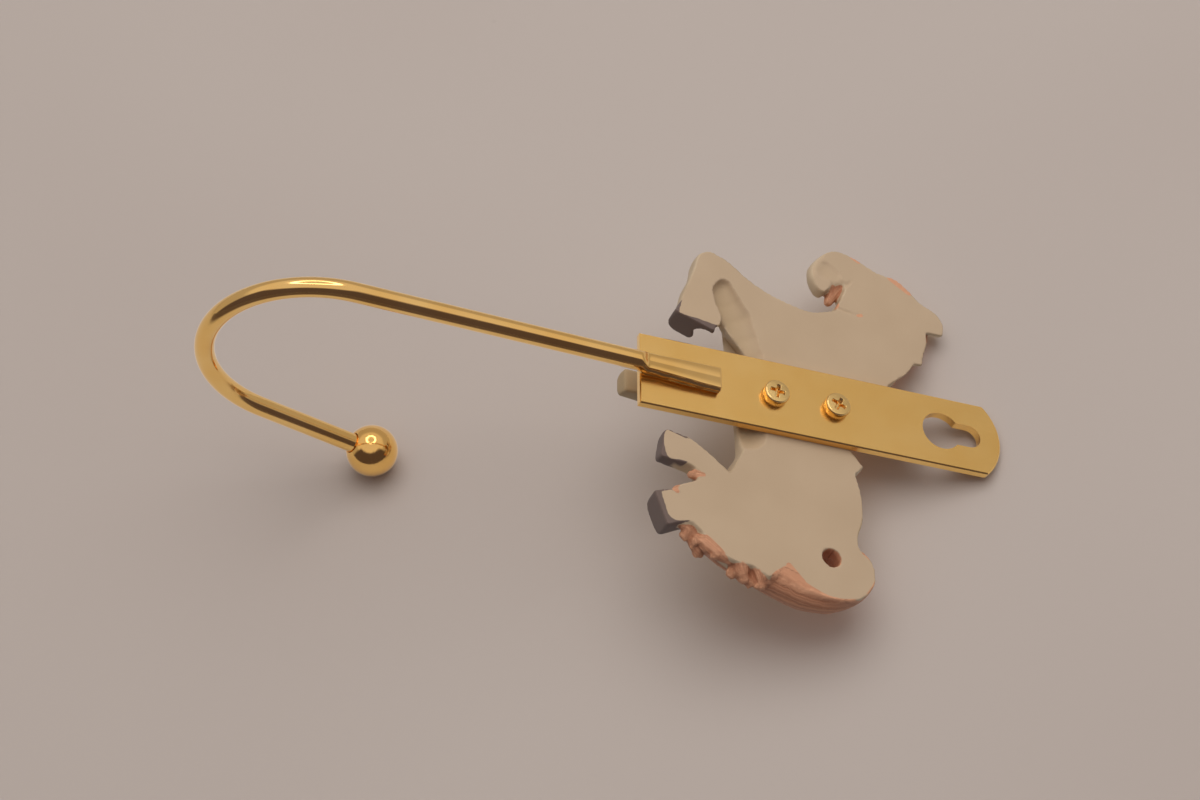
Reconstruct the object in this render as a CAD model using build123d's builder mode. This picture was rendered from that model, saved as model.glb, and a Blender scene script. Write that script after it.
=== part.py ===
"""Wall hook: a plated strip with a keyhole, a ball-ended rod hook and a cast pony screwed to its front.

Millimetres. The origin is the centre of the keyhole's round opening on the plate's back face.
+Z is up as the hook hangs, +Y points to the wall and +X is the way the pony faces.
"""
from build123d import *
from math import asin, cos, radians, sin, sqrt
import os

# Back plate
plate_width = 20.0
plate_thick = 2.2
plate_foot = 79.4  # keyhole centre down to the square end
plate_head = 16.2  # keyhole centre up to the crown of the round end
crown_radius = 14.0
corner_radius = 1.0
edge_break = 0.3

# Keyhole
keyhole_radius = 5.15
slot_width = 6.3
slot_rise = 7.5  # keyhole centre up to the centre of the slot's round end

# Hook rod
rod_radius = 2.4
rod_lean = 2.3  # degrees away from the plate's plane
shank_run = 69.6  # straight length below the paddle
bend_radius = 27.3
tip_flare = 17.7  # degrees that the tip leans outwards
tip_run = 25.8  # straight length from the bend to the ball

# Flattened end of the rod, welded to the plate's back
paddle_top = 20.0  # length lying on the plate
paddle_width = 6.8
paddle_thick = 2.4
paddle_root_width = 5.3
paddle_root_thick = 3.3
paddle_round = 0.8  # rounding along the flat's long edges
paddle_lap = 1.2  # plate's foot up to where the flat begins
paddle_neck = 2.6  # length over which the round rod turns flat

# Ball on the tip
ball_radius = 6.5
ball_seat = 6.0  # how far the rod goes into the ball
ball_fit = 0.05

# Screws
screw_heights = {"screw_lower": -44.7, "screw_upper": -28.6}
screw_turns = {"screw_lower": 11.0, "screw_upper": 26.0}
screw_head_radius = 3.25
screw_head_rise = 2.2
screw_head_bevel = 0.5
screw_shank_radius = 1.5
screw_length = 10.5  # under the head
screw_point = 1.6
screw_fit = 0.05
plate_hole_fit = 0.3
recess_span = 3.9
recess_width = 0.95
recess_depth = 1.2
recess_taper = 12

# Cast figure
figure_width = 102.4  # from the tail to the nose, on the flat back
slab_depth = 5.0  # even thickness behind the modelled forms
head_depth = 1.0  # how far the head's middle stands in front of the flat back
tail_depth = 5.0
mane_depth = 10.0
leg_depth = 1.0
hoof_depth = 3.0
stand_root_depth = 8.5
stand_depth = 12.6
stand_back = 9.8  # the standing foreleg's own flat back
stand_back_width = 15.0
pilot_spare = 1.0  # blind hole past the screw's point
tail_hole_radius = 2.4

os.makedirs("parts", exist_ok=True)

# The figure's flat back lies on the plate's front face.
figure_back = Plane(origin=(0, -plate_thick, 0), x_dir=(1, 0, 0), z_dir=(0, -1, 0))


def drawn(points):
    """The figure's drawn points at its real size."""
    return [(x * figure_scale, z * figure_scale) for x, z in points]


def at(point, depth):
    """A point of the figure: drawn across and up, and how far in front of the flat back."""
    [(x, z)] = drawn([point])
    return Vector(x, -plate_thick - depth, z)


def limb(start, end, drawn_start, drawn_end, depth=0.0, end_depth=None):
    """A tapered round limb from one drawn point and radius to another, with ball ends or a pointed one."""
    a = at(start, depth)
    b = at(end, depth if end_depth is None else end_depth)
    r_start, r_end = drawn_start * figure_scale, drawn_end * figure_scale
    run = (b - a).length
    lean = asin((r_start - r_end) / run)
    side = (b - a).cross(Vector(0, 1, 0))
    with BuildPart() as form:
        with BuildSketch(Plane(origin=a, x_dir=b - a, z_dir=side)):
            with BuildLine():
                tail_mid = radians(90) + lean
                Line((run + r_end, 0), (-r_start, 0))
                ThreePointArc(
                    (-r_start, 0),
                    (-r_start * sin(tail_mid / 2), r_start * cos(tail_mid / 2)),
                    (r_start * sin(lean), r_start * cos(lean)),
                )
                Line(
                    (r_start * sin(lean), r_start * cos(lean)),
                    (run + r_end * sin(lean), r_end * cos(lean)),
                )
                nose_mid = (radians(90) + lean) / 2
                if r_end > 0:
                    ThreePointArc(
                        (run + r_end * sin(lean), r_end * cos(lean)),
                        (run + r_end * sin(nose_mid), r_end * cos(nose_mid)),
                        (run + r_end, 0),
                    )
            make_face()
        revolve(axis=Axis(a, b - a))
    return form.part


def hoof(top, sole, drawn_top, drawn_sole, depth):
    """A hoof: a flared cone with a flat sole."""
    a = at(top, depth)
    b = at(sole, depth)
    r_top, r_sole = drawn_top * figure_scale, drawn_sole * figure_scale
    run = (b - a).length
    with BuildPart() as form:
        with BuildSketch(Plane(origin=a, x_dir=b - a, z_dir=(b - a).cross(Vector(0, 1, 0)))):
            with BuildLine():
                Polyline((0, 0), (0, r_top), (run, r_sole), (run, 0), close=True)
            make_face()
        revolve(axis=Axis(a, b - a))
    return form.part


# Back plate: a strip with a square foot, a round crown, the keyhole and two screw holes
crown_drop = crown_radius - sqrt(crown_radius**2 - (plate_width / 2) ** 2)
with BuildPart() as back_plate:
    with BuildSketch(Plane.XZ) as strip:
        with BuildLine():
            shoulder = plate_head - crown_drop
            Polyline(
                (plate_width / 2, shoulder),
                (plate_width / 2, -plate_foot),
                (-plate_width / 2, -plate_foot),
                (-plate_width / 2, shoulder),
            )
            ThreePointArc((-plate_width / 2, shoulder), (0, plate_head), (plate_width / 2, shoulder))
        make_face()
        fillet(strip.vertices().group_by(Axis.Y)[-1], corner_radius)
    extrude(amount=plate_thick)
    outer_edges = back_plate.faces().filter_by(Axis.Y).edges()
    chamfer(outer_edges, edge_break)
    with BuildSketch(Plane.XZ) as keyhole:
        Circle(keyhole_radius)
        with BuildLine():
            Polyline((-slot_width / 2, 0), (-slot_width / 2, slot_rise))
            ThreePointArc(
                (-slot_width / 2, slot_rise), (0, slot_rise + slot_width / 2), (slot_width / 2, slot_rise)
            )
            Polyline((slot_width / 2, slot_rise), (slot_width / 2, 0), (-slot_width / 2, 0))
        make_face()
    extrude(amount=plate_thick, mode=Mode.SUBTRACT)
    with BuildSketch(Plane.XZ):
        with Locations(*[(0, height) for height in screw_heights.values()]):
            Circle(screw_shank_radius + plate_hole_fit)
    extrude(amount=plate_thick, mode=Mode.SUBTRACT)
back_plate.part.label = "back_plate"

# Hook rod: bent round rod whose top end is squeezed flat
rod_axis = rod_radius  # the rod's middle stands this far behind the plate's back face
paddle_foot = -plate_foot + paddle_lap
with BuildPart() as hook_rod:
    with BuildLine(Plane.YZ) as route:
        shank_drift = shank_run * sin(radians(rod_lean))
        shank_head = paddle_foot - paddle_neck
        shank_foot = shank_head - shank_run * cos(radians(rod_lean))
        shank = Line((rod_axis, shank_head), (rod_axis + shank_drift, shank_foot))
        bend = JernArc(shank @ 1, shank % 1, bend_radius, -(180 - tip_flare + rod_lean))
        tip = Line(bend @ 1, bend @ 1 + (bend % 1) * (tip_run + ball_seat))
    with BuildSketch(Plane(origin=route.line @ 0, z_dir=route.line % 0)):
        Circle(rod_radius)
    sweep(path=route.line)
    with BuildSketch(Plane(origin=route.line @ 0, z_dir=route.line % 0)):
        Circle(rod_radius)
    with BuildSketch(Plane.XY.offset(paddle_foot)):
        with Locations((0, paddle_root_thick / 2)):
            RectangleRounded(paddle_root_width, paddle_root_thick, paddle_round)
    loft(ruled=True)
    with BuildSketch(Plane.XY.offset(paddle_foot)):
        with Locations((0, paddle_root_thick / 2)):
            RectangleRounded(paddle_root_width, paddle_root_thick, paddle_round)
    with BuildSketch(Plane.XY.offset(-plate_foot + paddle_top)):
        with Locations((0, paddle_thick / 2)):
            RectangleRounded(paddle_width, paddle_thick, paddle_round)
    loft(ruled=True)
hook_rod.part.label = "hook_rod"

# Ball on the tip, bored to take the rod's end
tip_way = route.line % 1
tip_end = route.line @ 1
ball_centre = tip_end - tip_way * (ball_seat - ball_radius)
with BuildPart() as ball_end:
    with BuildSketch(Plane(origin=ball_centre, x_dir=(1, 0, 0), z_dir=Vector(1, 0, 0).cross(tip_way))):
        with BuildLine():
            bore = rod_radius + ball_fit
            mouth = sqrt(ball_radius**2 - bore**2)
            seat = ball_radius - ball_seat
            Polyline((bore, -mouth), (bore, -seat), (0, -seat), (0, ball_radius))
            RadiusArc((0, ball_radius), (bore, -mouth), ball_radius)
        make_face()
    revolve(axis=Axis(ball_centre, tip_way))
ball_end.part.label = "ball_end"

# Screws: pan heads on the plate's back, shanks through it into the figure
screws = {}
for screw_name, screw_height in screw_heights.items():
    screw_frame = Plane(origin=(0, 0, screw_height), x_dir=(1, 0, 0), z_dir=(0, 1, 0))
    with BuildPart() as screw:
        with BuildSketch(Plane.XY.offset(screw_height)):
            with BuildLine():
                rim = screw_head_rise - screw_head_bevel
                Polyline(
                    (0, screw_head_rise),
                    (0, -screw_length),
                    (screw_shank_radius, -screw_length + screw_point),
                    (screw_shank_radius, 0),
                    (screw_head_radius, 0),
                    (screw_head_radius, rim),
                    (screw_head_radius - screw_head_bevel, screw_head_rise),
                    (0, screw_head_rise),
                )
            make_face()
        revolve(axis=Axis((0, 0, screw_height), (0, 1, 0)))
        with BuildSketch(screw_frame.offset(screw_head_rise)):
            Rectangle(recess_span, recess_width, rotation=screw_turns[screw_name])
            Rectangle(recess_width, recess_span, rotation=screw_turns[screw_name])
        extrude(amount=-recess_depth, taper=recess_taper, mode=Mode.SUBTRACT)
    screw.part.label = screw_name
    screws[screw_name] = screw

# Cast figure: the outline of the flat back, as across and up points, one span for each stretch
chest_front = [(41, -59.5), (38.8, -54.7), (35, -50), (31.8, -44), (29.6, -36.5), (29.2, -32), (31.4, -25.5)]
throat = [(31.4, -25.5), (35, -25), (38.6, -23.4)]
chin = [(38.6, -23.4), (38.2, -26.6), (36.4, -28.8)]
muzzle = [(36.4, -28.8), (38, -30.9), (43, -31.6), (47.4, -29.3), (50.2, -25), (49.2, -19.6)]
face = [(49.2, -19.6), (46.2, -13.5), (45.6, -8.5), (42.6, -4.8), (39.6, -2.2)]
ear = [(39.6, -2.2), (38.2, 1.6), (35, 4.2), (30.8, 4)]
mane_lock = [(31, 0.2), (25.5, -1.6), (20.2, -2.6)]
crest = [(20.2, -4.8), (16.4, -7.4), (12.2, -12.1), (4, -19), (-4, -24), (-9.7, -24.4), (-14, -20.8)]
rump = [(-16.4, -23.6), (-22.7, -22.1), (-29, -22.2), (-34.2, -23.8), (-37.3, -23.4)]
tail_top = [(-37.3, -23.4), (-40.3, -20.2), (-46, -19.8), (-51, -24), (-52.2, -31), (-49.7, -37.7), (-46.2, -42.6)]
tail_fringe = [(-49.6, -46.8), (-47.4, -51), (-46.6, -56.4), (-42.6, -61.4), (-38.6, -65.8)]
hind_sole = [(-39, -69.6), (-35.8, -72.2), (-31.6, -73.5)]
hind_fetlock = [(-30.4, -69.7), (-27.8, -66.4), (-25.2, -65.2), (-22.6, -67)]
mid_sole = [(-22, -71.6), (-18.3, -72.8), (-14.4, -71.6)]
gaskin = [(-15.6, -66.6), (-18.4, -62.2), (-23.4, -56)]
belly = [(-23.4, -56), (-19.5, -53.8), (-14, -52), (0, -53.4), (11.8, -52.6), (16.4, -56), (20.6, -56.4)]
fore_sole = [(15.8, -58.9), (17.6, -63), (13.8, -66.3), (13.2, -70.8)]
fore_cannon = [(19.2, -70.4), (24.5, -67.4), (33.9, -64.1), (39.4, -62.4), (41, -59.5)]

curved_spans = [chest_front, throat, chin, muzzle, face, ear, mane_lock, crest, rump, tail_top]
curved_spans += [tail_fringe, hind_sole, hind_fetlock, mid_sole, gaskin, belly, fore_sole, fore_cannon]

drawn_across = [x for span in curved_spans for x, z in span]
figure_scale = figure_width / (max(drawn_across) - min(drawn_across))

# Rounded forms of the body, as start, end, radius at each, and depth of the middle
trunk_forms = [
    limb((14, -39), (-28, -38), 15.3, 14.6),
    limb((19, -42), (17, -35), 12.5, 11),
    limb((18, -34), (28, -11), 11.5, 8.5),
    limb((36, -7.5), (43.4, -24.6), 7, 5.4, head_depth),
    limb((35.6, -1.4), (32.6, 2.4), 2.6, 1.4, head_depth),
]
leg_forms = [
    limb((25, -46), (36, -58), 8, 4.6, leg_depth),
    limb((36, -59.2), (23, -62.4), 4.4, 3.9, leg_depth),
    hoof((24, -62.2), (14.4, -64.4), 4.4, 6.4, hoof_depth),
    limb((-24, -47), (-23, -60), 10.5, 4.4, leg_depth),
    limb((-23, -60.2), (-19.4, -67), 4.8, 3.6, leg_depth),
    hoof((-19.5, -66.4), (-18.4, -72.8), 3.9, 5, hoof_depth),
    limb((-32, -47), (-34, -61), 11.5, 4.9, leg_depth),
    limb((-34, -61.2), (-33.7, -66.6), 5.2, 4.2, leg_depth),
    hoof((-33.4, -66.4), (-35.8, -73), 4.5, 5.4, hoof_depth),
]
stand_forms = [
    limb((6, -46), (4.4, -66), 7.6, 3.9, stand_root_depth, stand_depth),
    limb((4.4, -66.2), (4.1, -73.4), 4.2, 3.4, stand_depth),
    hoof((4.1, -73), (4.1, -80), 3.9, 4.8, stand_depth),
]
tail_forms = [
    limb((-36, -29), (-44, -24.8), 4.2, 4.5, tail_depth),
    limb((-44.2, -25), (-48.3, -33.6), 4.8, 5.1, tail_depth),
    limb((-48.2, -34), (-45, -51), 5.4, 4.5, tail_depth),
    limb((-45, -51.4), (-39.6, -62.6), 4.8, 2.8, tail_depth),
]
mane_forms = [
    limb((37, -4.6), (19, -2), 4.4, 0, 0.35 * mane_depth),
    limb((32, -8.6), (14, -9.4), 5, 0, 0.6 * mane_depth),
    limb((29, -16), (8, -18.4), 5.4, 0, 0.85 * mane_depth),
    limb((25, -25), (1, -30), 5.4, 0, mane_depth),
]

# Hollows in the back: behind the chest, and under the plate's foot where the standing leg leaves
hollows = [
    limb((30.4, -56.6), (18, -52.6), 2.3, 4.8),
    limb((14, -52.4), (-11, -51.6), 5.2, 5),
]
tail_hole = (-41.1, -30.7)
stand_hip, stand_sole = (4.5, -52), (4.5, -82)  # where the standing leg's flat back starts, and past its hoof

with BuildPart() as figurine:
    with BuildSketch(figure_back) as back_outline:
        with BuildLine():
            for index, span in enumerate(curved_spans):
                Spline(*drawn(span))
                following = curved_spans[(index + 1) % len(curved_spans)][0]
                if span[-1] != following:
                    Line(drawn([span[-1], following]))
        make_face()
    extrude(amount=slab_depth)
    add(stand_forms)
    with BuildSketch(figure_back):
        with BuildLine():
            Line(drawn([stand_hip, stand_sole]))
        trace(line_width=stand_back_width)
    extrude(amount=stand_back, mode=Mode.SUBTRACT)
    add(trunk_forms)
    add(leg_forms)
    add(tail_forms)
    add(mane_forms)
    split(bisect_by=figure_back, keep=Keep.TOP)
    add(hollows, mode=Mode.SUBTRACT)
    with BuildSketch(figure_back):
        with Locations(drawn([tail_hole])):
            Circle(tail_hole_radius)
    extrude(amount=tail_depth + 2 * slab_depth, mode=Mode.SUBTRACT)
    with BuildSketch(figure_back):
        with Locations(*[(0, height) for height in screw_heights.values()]):
            Circle(screw_shank_radius + screw_fit)
    extrude(amount=screw_length - plate_thick + pilot_spare, mode=Mode.SUBTRACT)
figurine.part.label = "figurine"

for piece in (back_plate, hook_rod, ball_end, *screws.values(), figurine):
    export_step(piece.part, f"parts/{piece.part.label}.step")
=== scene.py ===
"""Looks of a wall hook: a brass plated keyhole strip, a ball-ended rod hook and a cast resin pony.

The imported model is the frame. Its row frame has +Z up as the hook hangs, +Y to the wall and +X the way
the pony faces, with the origin at the keyhole's round opening on the plate's back face. The photograph
shows the hook from behind, lying face down on a table, so the table is a tilted stage in that frame.
"""
import logging
import math
from dataclasses import dataclass, field
from enum import Enum
from functools import partial
from typing import ClassVar, Iterable, Sequence

import bmesh
import bpy
import numpy as np
from mathutils import Matrix, Vector


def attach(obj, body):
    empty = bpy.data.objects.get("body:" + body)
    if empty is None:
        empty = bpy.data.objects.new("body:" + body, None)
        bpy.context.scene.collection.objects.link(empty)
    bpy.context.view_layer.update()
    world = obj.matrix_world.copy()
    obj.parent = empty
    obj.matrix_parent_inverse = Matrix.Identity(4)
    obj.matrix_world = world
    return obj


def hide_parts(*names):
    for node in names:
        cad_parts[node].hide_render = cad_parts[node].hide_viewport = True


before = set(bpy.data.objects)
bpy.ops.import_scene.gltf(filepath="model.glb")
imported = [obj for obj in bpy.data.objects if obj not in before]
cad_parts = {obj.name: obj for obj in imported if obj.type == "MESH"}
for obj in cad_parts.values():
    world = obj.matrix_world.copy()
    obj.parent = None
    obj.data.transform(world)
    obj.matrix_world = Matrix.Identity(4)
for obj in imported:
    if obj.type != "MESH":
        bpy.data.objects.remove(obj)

LOG = logging.getLogger("wall_hook")
MM = 0.001
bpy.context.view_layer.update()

Point2 = tuple[float, float]
Point3 = tuple[float, float, float]
Span = list[Point2]

# Kinds of node that more than one tree uses.
ATTRIBUTE = "ShaderNodeAttribute"
BUMP = "ShaderNodeBump"
COMBINE = "ShaderNodeCombineXYZ"
LIGHT_PATH = "ShaderNodeLightPath"
MATH = "ShaderNodeMath"
MIX = "ShaderNodeMix"
NAMED = "GeometryNodeInputNamedAttribute"
NOISE = "ShaderNodeTexNoise"
NUMBER = "NodeSocketFloat"
PRINCIPLED = "ShaderNodeBsdfPrincipled"
RAMP = "ShaderNodeValToRGB"
RANGE = "ShaderNodeMapRange"
SPLIT = "ShaderNodeSeparateXYZ"
COORDINATES = "ShaderNodeTexCoord"
VECTORS = "ShaderNodeVectorMath"

# Noise values lie mostly between these, so a pattern is stretched over them.
NOISE_MIDDLE = (0.3, 0.7)
NOISE_CORE = (0.35, 0.65)


def linear(hex_colour: str) -> tuple[float, float, float, float]:
    """Turn an sRGB hex colour into the linear colour a shader socket takes.

    Args:
        hex_colour: six hex digits.

    Returns:
        Linear red, green, blue and an alpha of one.
    """
    channels = [int(hex_colour[i : i + 2], 16) / 255 for i in (0, 2, 4)]
    low = [c / 12.92 if c <= 0.04045 else ((c + 0.055) / 1.055) ** 2.4 for c in channels]
    return (low[0], low[1], low[2], 1.0)


def add_node(
    tree: bpy.types.NodeTree,
    kind: str,
    inputs: dict | Sequence = (),
    stops: Sequence[tuple[float, str]] = (),
    **settings,
) -> bpy.types.Node:
    """Add a node with its settings, values and links.

    Args:
        tree: the node tree.
        kind: the node's type name.
        inputs: values by socket name or number, or in the sockets' order. A socket is linked, and for a node
            its first live output is.
        stops: a colour ramp's positions and hex colours, in order.
        **settings: properties set before the inputs.

    Returns:
        The new node.
    """
    node = tree.nodes.new(kind)
    for name, value in settings.items():
        setattr(node, name, value)
    for key, value in inputs.items() if isinstance(inputs, dict) else enumerate(inputs):
        if isinstance(value, bpy.types.Node):
            value = next(socket for socket in value.outputs if socket.enabled)
        if isinstance(value, bpy.types.NodeSocket):
            tree.links.new(value, node.inputs[key])
        else:
            node.inputs[key].default_value = value
    if stops:
        elements = node.color_ramp.elements
        while len(elements) < len(stops):
            elements.new(0.5)
        for element, (position, colour) in zip(elements, stops):
            element.position = position
            element.color = linear(colour)
    return node


def new_material(name: str) -> tuple[bpy.types.Material, partial]:
    """Start a node material.

    Args:
        name: the material's name, its real material and finish.

    Returns:
        The material, and add_node for its tree.
    """
    material = bpy.data.materials.new(name)
    material.use_nodes = True
    material.node_tree.nodes.clear()
    return material, partial(add_node, material.node_tree)


def mesh_object(name: str, points: np.ndarray, faces: Iterable[Sequence[int]], smooth: bool = True) -> bpy.types.Object:
    """Make an object from points in row millimetres.

    Args:
        name: the piece's name.
        points: one row of x, y, z per vertex, in millimetres.
        faces: vertex indices of each face.
        smooth: whether the faces shade smoothly.

    Returns:
        The object, linked to the scene, at the origin.
    """
    mesh = bpy.data.meshes.new(name)
    mesh.from_pydata((np.asarray(points, float) * MM).tolist(), [], [list(face) for face in faces])
    mesh.validate()
    mesh.polygons.foreach_set("use_smooth", [smooth] * len(mesh.polygons))
    mesh.update()
    piece = bpy.data.objects.new(name, mesh)
    bpy.context.scene.collection.objects.link(piece)
    return piece


@dataclass(frozen=True)
class PlatedFinish:
    """Bright brass electroplate on steel.

    Plating copies the metal under it: rolled strip keeps faint long lines, bent rod keeps soft
    waviness, and both pick up small rub marks that dull the mirror.
    """

    name: str
    colour: str
    deep_colour: str
    roughness: float
    wave: float
    grain_mm: Point3
    grain_bump: float
    rough_spread: float
    cloud_mm: float = 11.0
    grain_depth_mm: float = 0.02
    wave_depth_mm: float = 0.4

    def material(self) -> bpy.types.Material:
        """Build the plated material."""
        made, add = new_material(self.name)
        place = add(COORDINATES).outputs["Object"]
        per_metre = tuple(1.0 / (size * MM) for size in self.grain_mm)
        stretched = add("ShaderNodeMapping", {"Vector": place, "Scale": per_metre})
        grain = add(NOISE, {"Vector": stretched, "Scale": 1.0, "Detail": 3.0})
        cloud = add(NOISE, {"Vector": place, "Scale": 1 / (self.cloud_mm * MM), "Detail": 2.0})
        tone = add(RANGE, (cloud, *NOISE_MIDDLE))
        colour = add(RAMP, [tone], stops=[(0.0, self.deep_colour), (1.0, self.colour)])
        sharpest, dullest = self.roughness * (1 - self.rough_spread), self.roughness * (1 + self.rough_spread)
        rough = add(RANGE, (grain, *NOISE_MIDDLE, sharpest, dullest))
        fine = add(BUMP, {"Height": grain, "Strength": self.grain_bump, "Distance": self.grain_depth_mm * MM})
        soft = add(
            BUMP, {"Height": cloud, "Strength": self.wave, "Distance": self.wave_depth_mm * MM, "Normal": fine}
        )
        shader = add(PRINCIPLED, {"Base Color": colour, "Metallic": 1.0, "Roughness": rough, "Normal": soft})
        add("ShaderNodeOutputMaterial", [shader])
        return made


class Plating(Enum):
    """The plated finishes on the hook's metal pieces."""

    # Rolled strip: a soft mirror with faint lines along its length.
    STRIP = PlatedFinish(
        "brass plated rolled strip, bright", "f7c678", "f3bf6d",
        roughness=0.24, wave=0.015, grain_mm=(1.4, 1.4, 22.0), grain_bump=0.05, rough_spread=0.07,
    )
    # Drawn and bent rod: a sharp mirror with soft waves.
    ROD = PlatedFinish(
        "brass plated bent rod, polished", "f7c67c", "f2bc6c",
        roughness=0.1, wave=0.07, grain_mm=(1.5, 1.5, 6.0), grain_bump=0.1, rough_spread=0.2,
    )
    # Turned ball: fine tool marks under the plating break up its mirror.
    BALL = PlatedFinish(
        "brass plated turned ball, polished", "f7c173", "efb664",
        roughness=0.1, wave=0.16, grain_mm=(1.6, 1.6, 0.7), grain_bump=1.0, rough_spread=0.35,
    )
    # Screw head: a paler, thinner plating with small rub marks.
    SCREW = PlatedFinish(
        "pale brass plated screw head", "f7ce88", "ecc07a",
        roughness=0.22, wave=0.04, grain_mm=(0.9, 0.9, 0.9), grain_bump=0.3, rough_spread=0.3,
    )


@dataclass(frozen=True)
class ResinFinish:
    """Cast resin, hand painted in matt acrylic, with a bare flat back.

    The bare back is a dull yellowish cream with faint pours and pits. Colours are darkened in creases
    and lightened on ridges as painted shade and painted highlight. Brush edges are soft and uneven, and the hair has
    fine combed lines.
    """

    name: str = "cast resin, hand painted matt acrylic"
    bare: str = "bba184"
    bare_deep: str = "b69c7f"
    coat: str = "c0a98c"
    coat_deep: str = "ae9577"
    hair: str = "cf9774"
    hair_deep: str = "a56b4c"
    hoof: str = "65534c"
    hoof_light: str = "6c5a52"
    eye: str = "241a17"
    # Painted shade on the bare resin in the hollows and on the standing hoof, warmed as painted light reflected off the
    # plate.
    bare_shade: str = "9a8159"
    brush_mm: float = 2.2
    pour_mm: float = 16.0
    pit_mm: float = 0.6
    matt: float = 0.62
    eye_gloss: float = 0.14
    hair_lines_per_mm: float = 1.5
    hair_wander: float = 1.2
    hair_line: Point2 = (0.62, 0.36)
    hair_cut: float = 0.55
    pooling: float = 0.55
    edge_middle: Point2 = (0.42, 0.58)
    # How ragged the brush left each paint's edge: hair, hooves, eye and the bare back.
    edge_spreads: tuple[float, ...] = (0.4, 0.2, 0.05, 0.25)
    # Strength and depth in mm of the pits and the brush marks, and the depth of the hair lines.
    pit_bump: Point2 = (0.18, 0.1)
    brush_bump: Point2 = (0.12, 0.3)
    hair_depth_mm: float = 0.5

    def material(self) -> bpy.types.Material:
        """Build the painted resin material from the paint attributes."""
        made, add = new_material(self.name)
        place = add(COORDINATES).outputs["Object"]
        brush, pour, pits = (
            add(NOISE, {"Vector": place, "Scale": 1 / (size * MM), "Detail": detail})
            for size, detail in ((self.brush_mm, 3.0), (self.pour_mm, 2.0), (self.pit_mm, 2.0))
        )
        paint = add(ATTRIBUTE, attribute_name="paint").outputs["Color"]
        groove, bare_back, comb = (
            add(ATTRIBUTE, attribute_name=name).outputs["Fac"] for name in ("groove", "bare", "comb")
        )
        hair_paint, hoof_paint, eye_paint = add("ShaderNodeSeparateColor", [paint]).outputs

        def uneven(mask: bpy.types.NodeSocket, spread: float) -> bpy.types.Node:
            """A mask with an uneven brush edge."""
            shifted = add(MATH, (brush, spread, mask), operation="MULTIPLY_ADD")
            return add(RANGE, (shifted, *(bound + spread / 2 for bound in self.edge_middle)))

        hair_mask, hoof_mask, eye_mask, bare_mask = (
            uneven(mask, spread)
            for mask, spread in zip((hair_paint, hoof_paint, eye_paint, bare_back), self.edge_spreads)
        )
        across = add(MATH, (comb, self.hair_lines_per_mm), operation="MULTIPLY")
        across = add(MATH, (brush, self.hair_wander, across), operation="MULTIPLY_ADD")
        lines = add(NOISE, {"W": across, "Scale": 1.0, "Detail": 2.0}, noise_dimensions="1D")
        between_lines = add(RANGE, (lines, *self.hair_line))
        # Hair darkens along its combed lines, and with painted shade in creases.
        hair_lines_and_shade = add(MATH, (between_lines, self.pooling, groove), operation="MULTIPLY_ADD")
        worn = add(RANGE, (pour, *NOISE_CORE))
        # Coat and hair take painted shade in creases and a painted highlight on ridges, from the crease attribute.
        tones = (
            (add(MATH, (worn, groove), operation="MAXIMUM"), self.coat, self.coat_deep),
            (add(MATH, (hair_lines_and_shade, 1.0), operation="MINIMUM"), self.hair, self.hair_deep),
            (worn, self.hoof_light, self.hoof),
            (add(RANGE, (pour, *NOISE_MIDDLE)), self.bare, self.bare_deep),
        )
        coat, hair, hoof, bare = (
            add(MIX, {0: share, 6: linear(first), 7: linear(second)}, data_type="RGBA")
            for share, first, second in tones
        )
        # Painted shade: the bare resin turns olive in the hollows and on the standing hoof.
        bare = add(MIX, {0: groove, 6: bare, 7: linear(self.bare_shade)}, data_type="RGBA")
        colour = coat
        for mask, layer in ((hair_mask, hair), (hoof_mask, hoof), (eye_mask, linear(self.eye)), (bare_mask, bare)):
            colour = add(MIX, {0: mask, 6: colour, 7: layer}, data_type="RGBA")
        covered = add(MATH, (1.0, bare_mask), operation="SUBTRACT")
        comb_depth = add(MATH, (hair_mask, self.hair_cut), operation="MULTIPLY")
        comb_depth = add(MATH, (comb_depth, covered), operation="MULTIPLY")
        skin = None
        for height, strength, depth_mm in (
            (pits, *self.pit_bump), (brush, *self.brush_bump), (lines, comb_depth, self.hair_depth_mm)
        ):
            under = {"Normal": skin} if skin else {}
            skin = add(BUMP, {"Height": height, "Strength": strength, "Distance": depth_mm * MM, **under})
        rough = add(RANGE, (eye_mask, 0.0, 1.0, self.matt, self.eye_gloss))
        shader = add(
            PRINCIPLED, {"Base Color": colour, "Roughness": rough, "Normal": skin, "Specular IOR Level": 0.35}
        )
        add("ShaderNodeOutputMaterial", [shader])
        return made


def curve_points(span: Span, per_gap: int) -> np.ndarray:
    """Round an open run of points with a Catmull-Rom curve.

    Args:
        span: the points in order.
        per_gap: points made for each gap.

    Returns:
        The rounded points, one row each.
    """
    given = np.array(span, float)
    padded = np.vstack([given[:1], given, given[-1:]])
    steps = np.linspace(0, 1, per_gap, endpoint=False)[:, None]
    out = []
    for a, b, c, d in zip(padded, padded[1:], padded[2:], padded[3:]):
        out.append(
            0.5 * (2 * b + (c - a) * steps + (2 * a - 5 * b + 4 * c - d) * steps**2
                   + (3 * b - a - 3 * c + d) * steps**3)
        )
    return np.vstack([*out, given[-1:]])


def between(value: np.ndarray, none_at: float, whole_at: float) -> np.ndarray:
    """How far values have come from one bound to the other, held between 0 and 1.

    Args:
        value: the values.
        none_at: where the result is 0.
        whole_at: where it is 1.

    Returns:
        One share for each value.
    """
    return np.clip((value - none_at) / (whole_at - none_at), 0, 1)


@dataclass(frozen=True)
class Limb:
    """A tapered round form of the casting, between two points given across, up and in front of the back."""

    start: Point3
    end: Point3
    start_radius: float
    end_radius: float


@dataclass(frozen=True)
class Tuck:
    """A stretch of the casting's rim, in a box, whose side wall slopes in from the flat back's edge."""

    low: Point3
    high: Point3
    over: float
    slope: float


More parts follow.
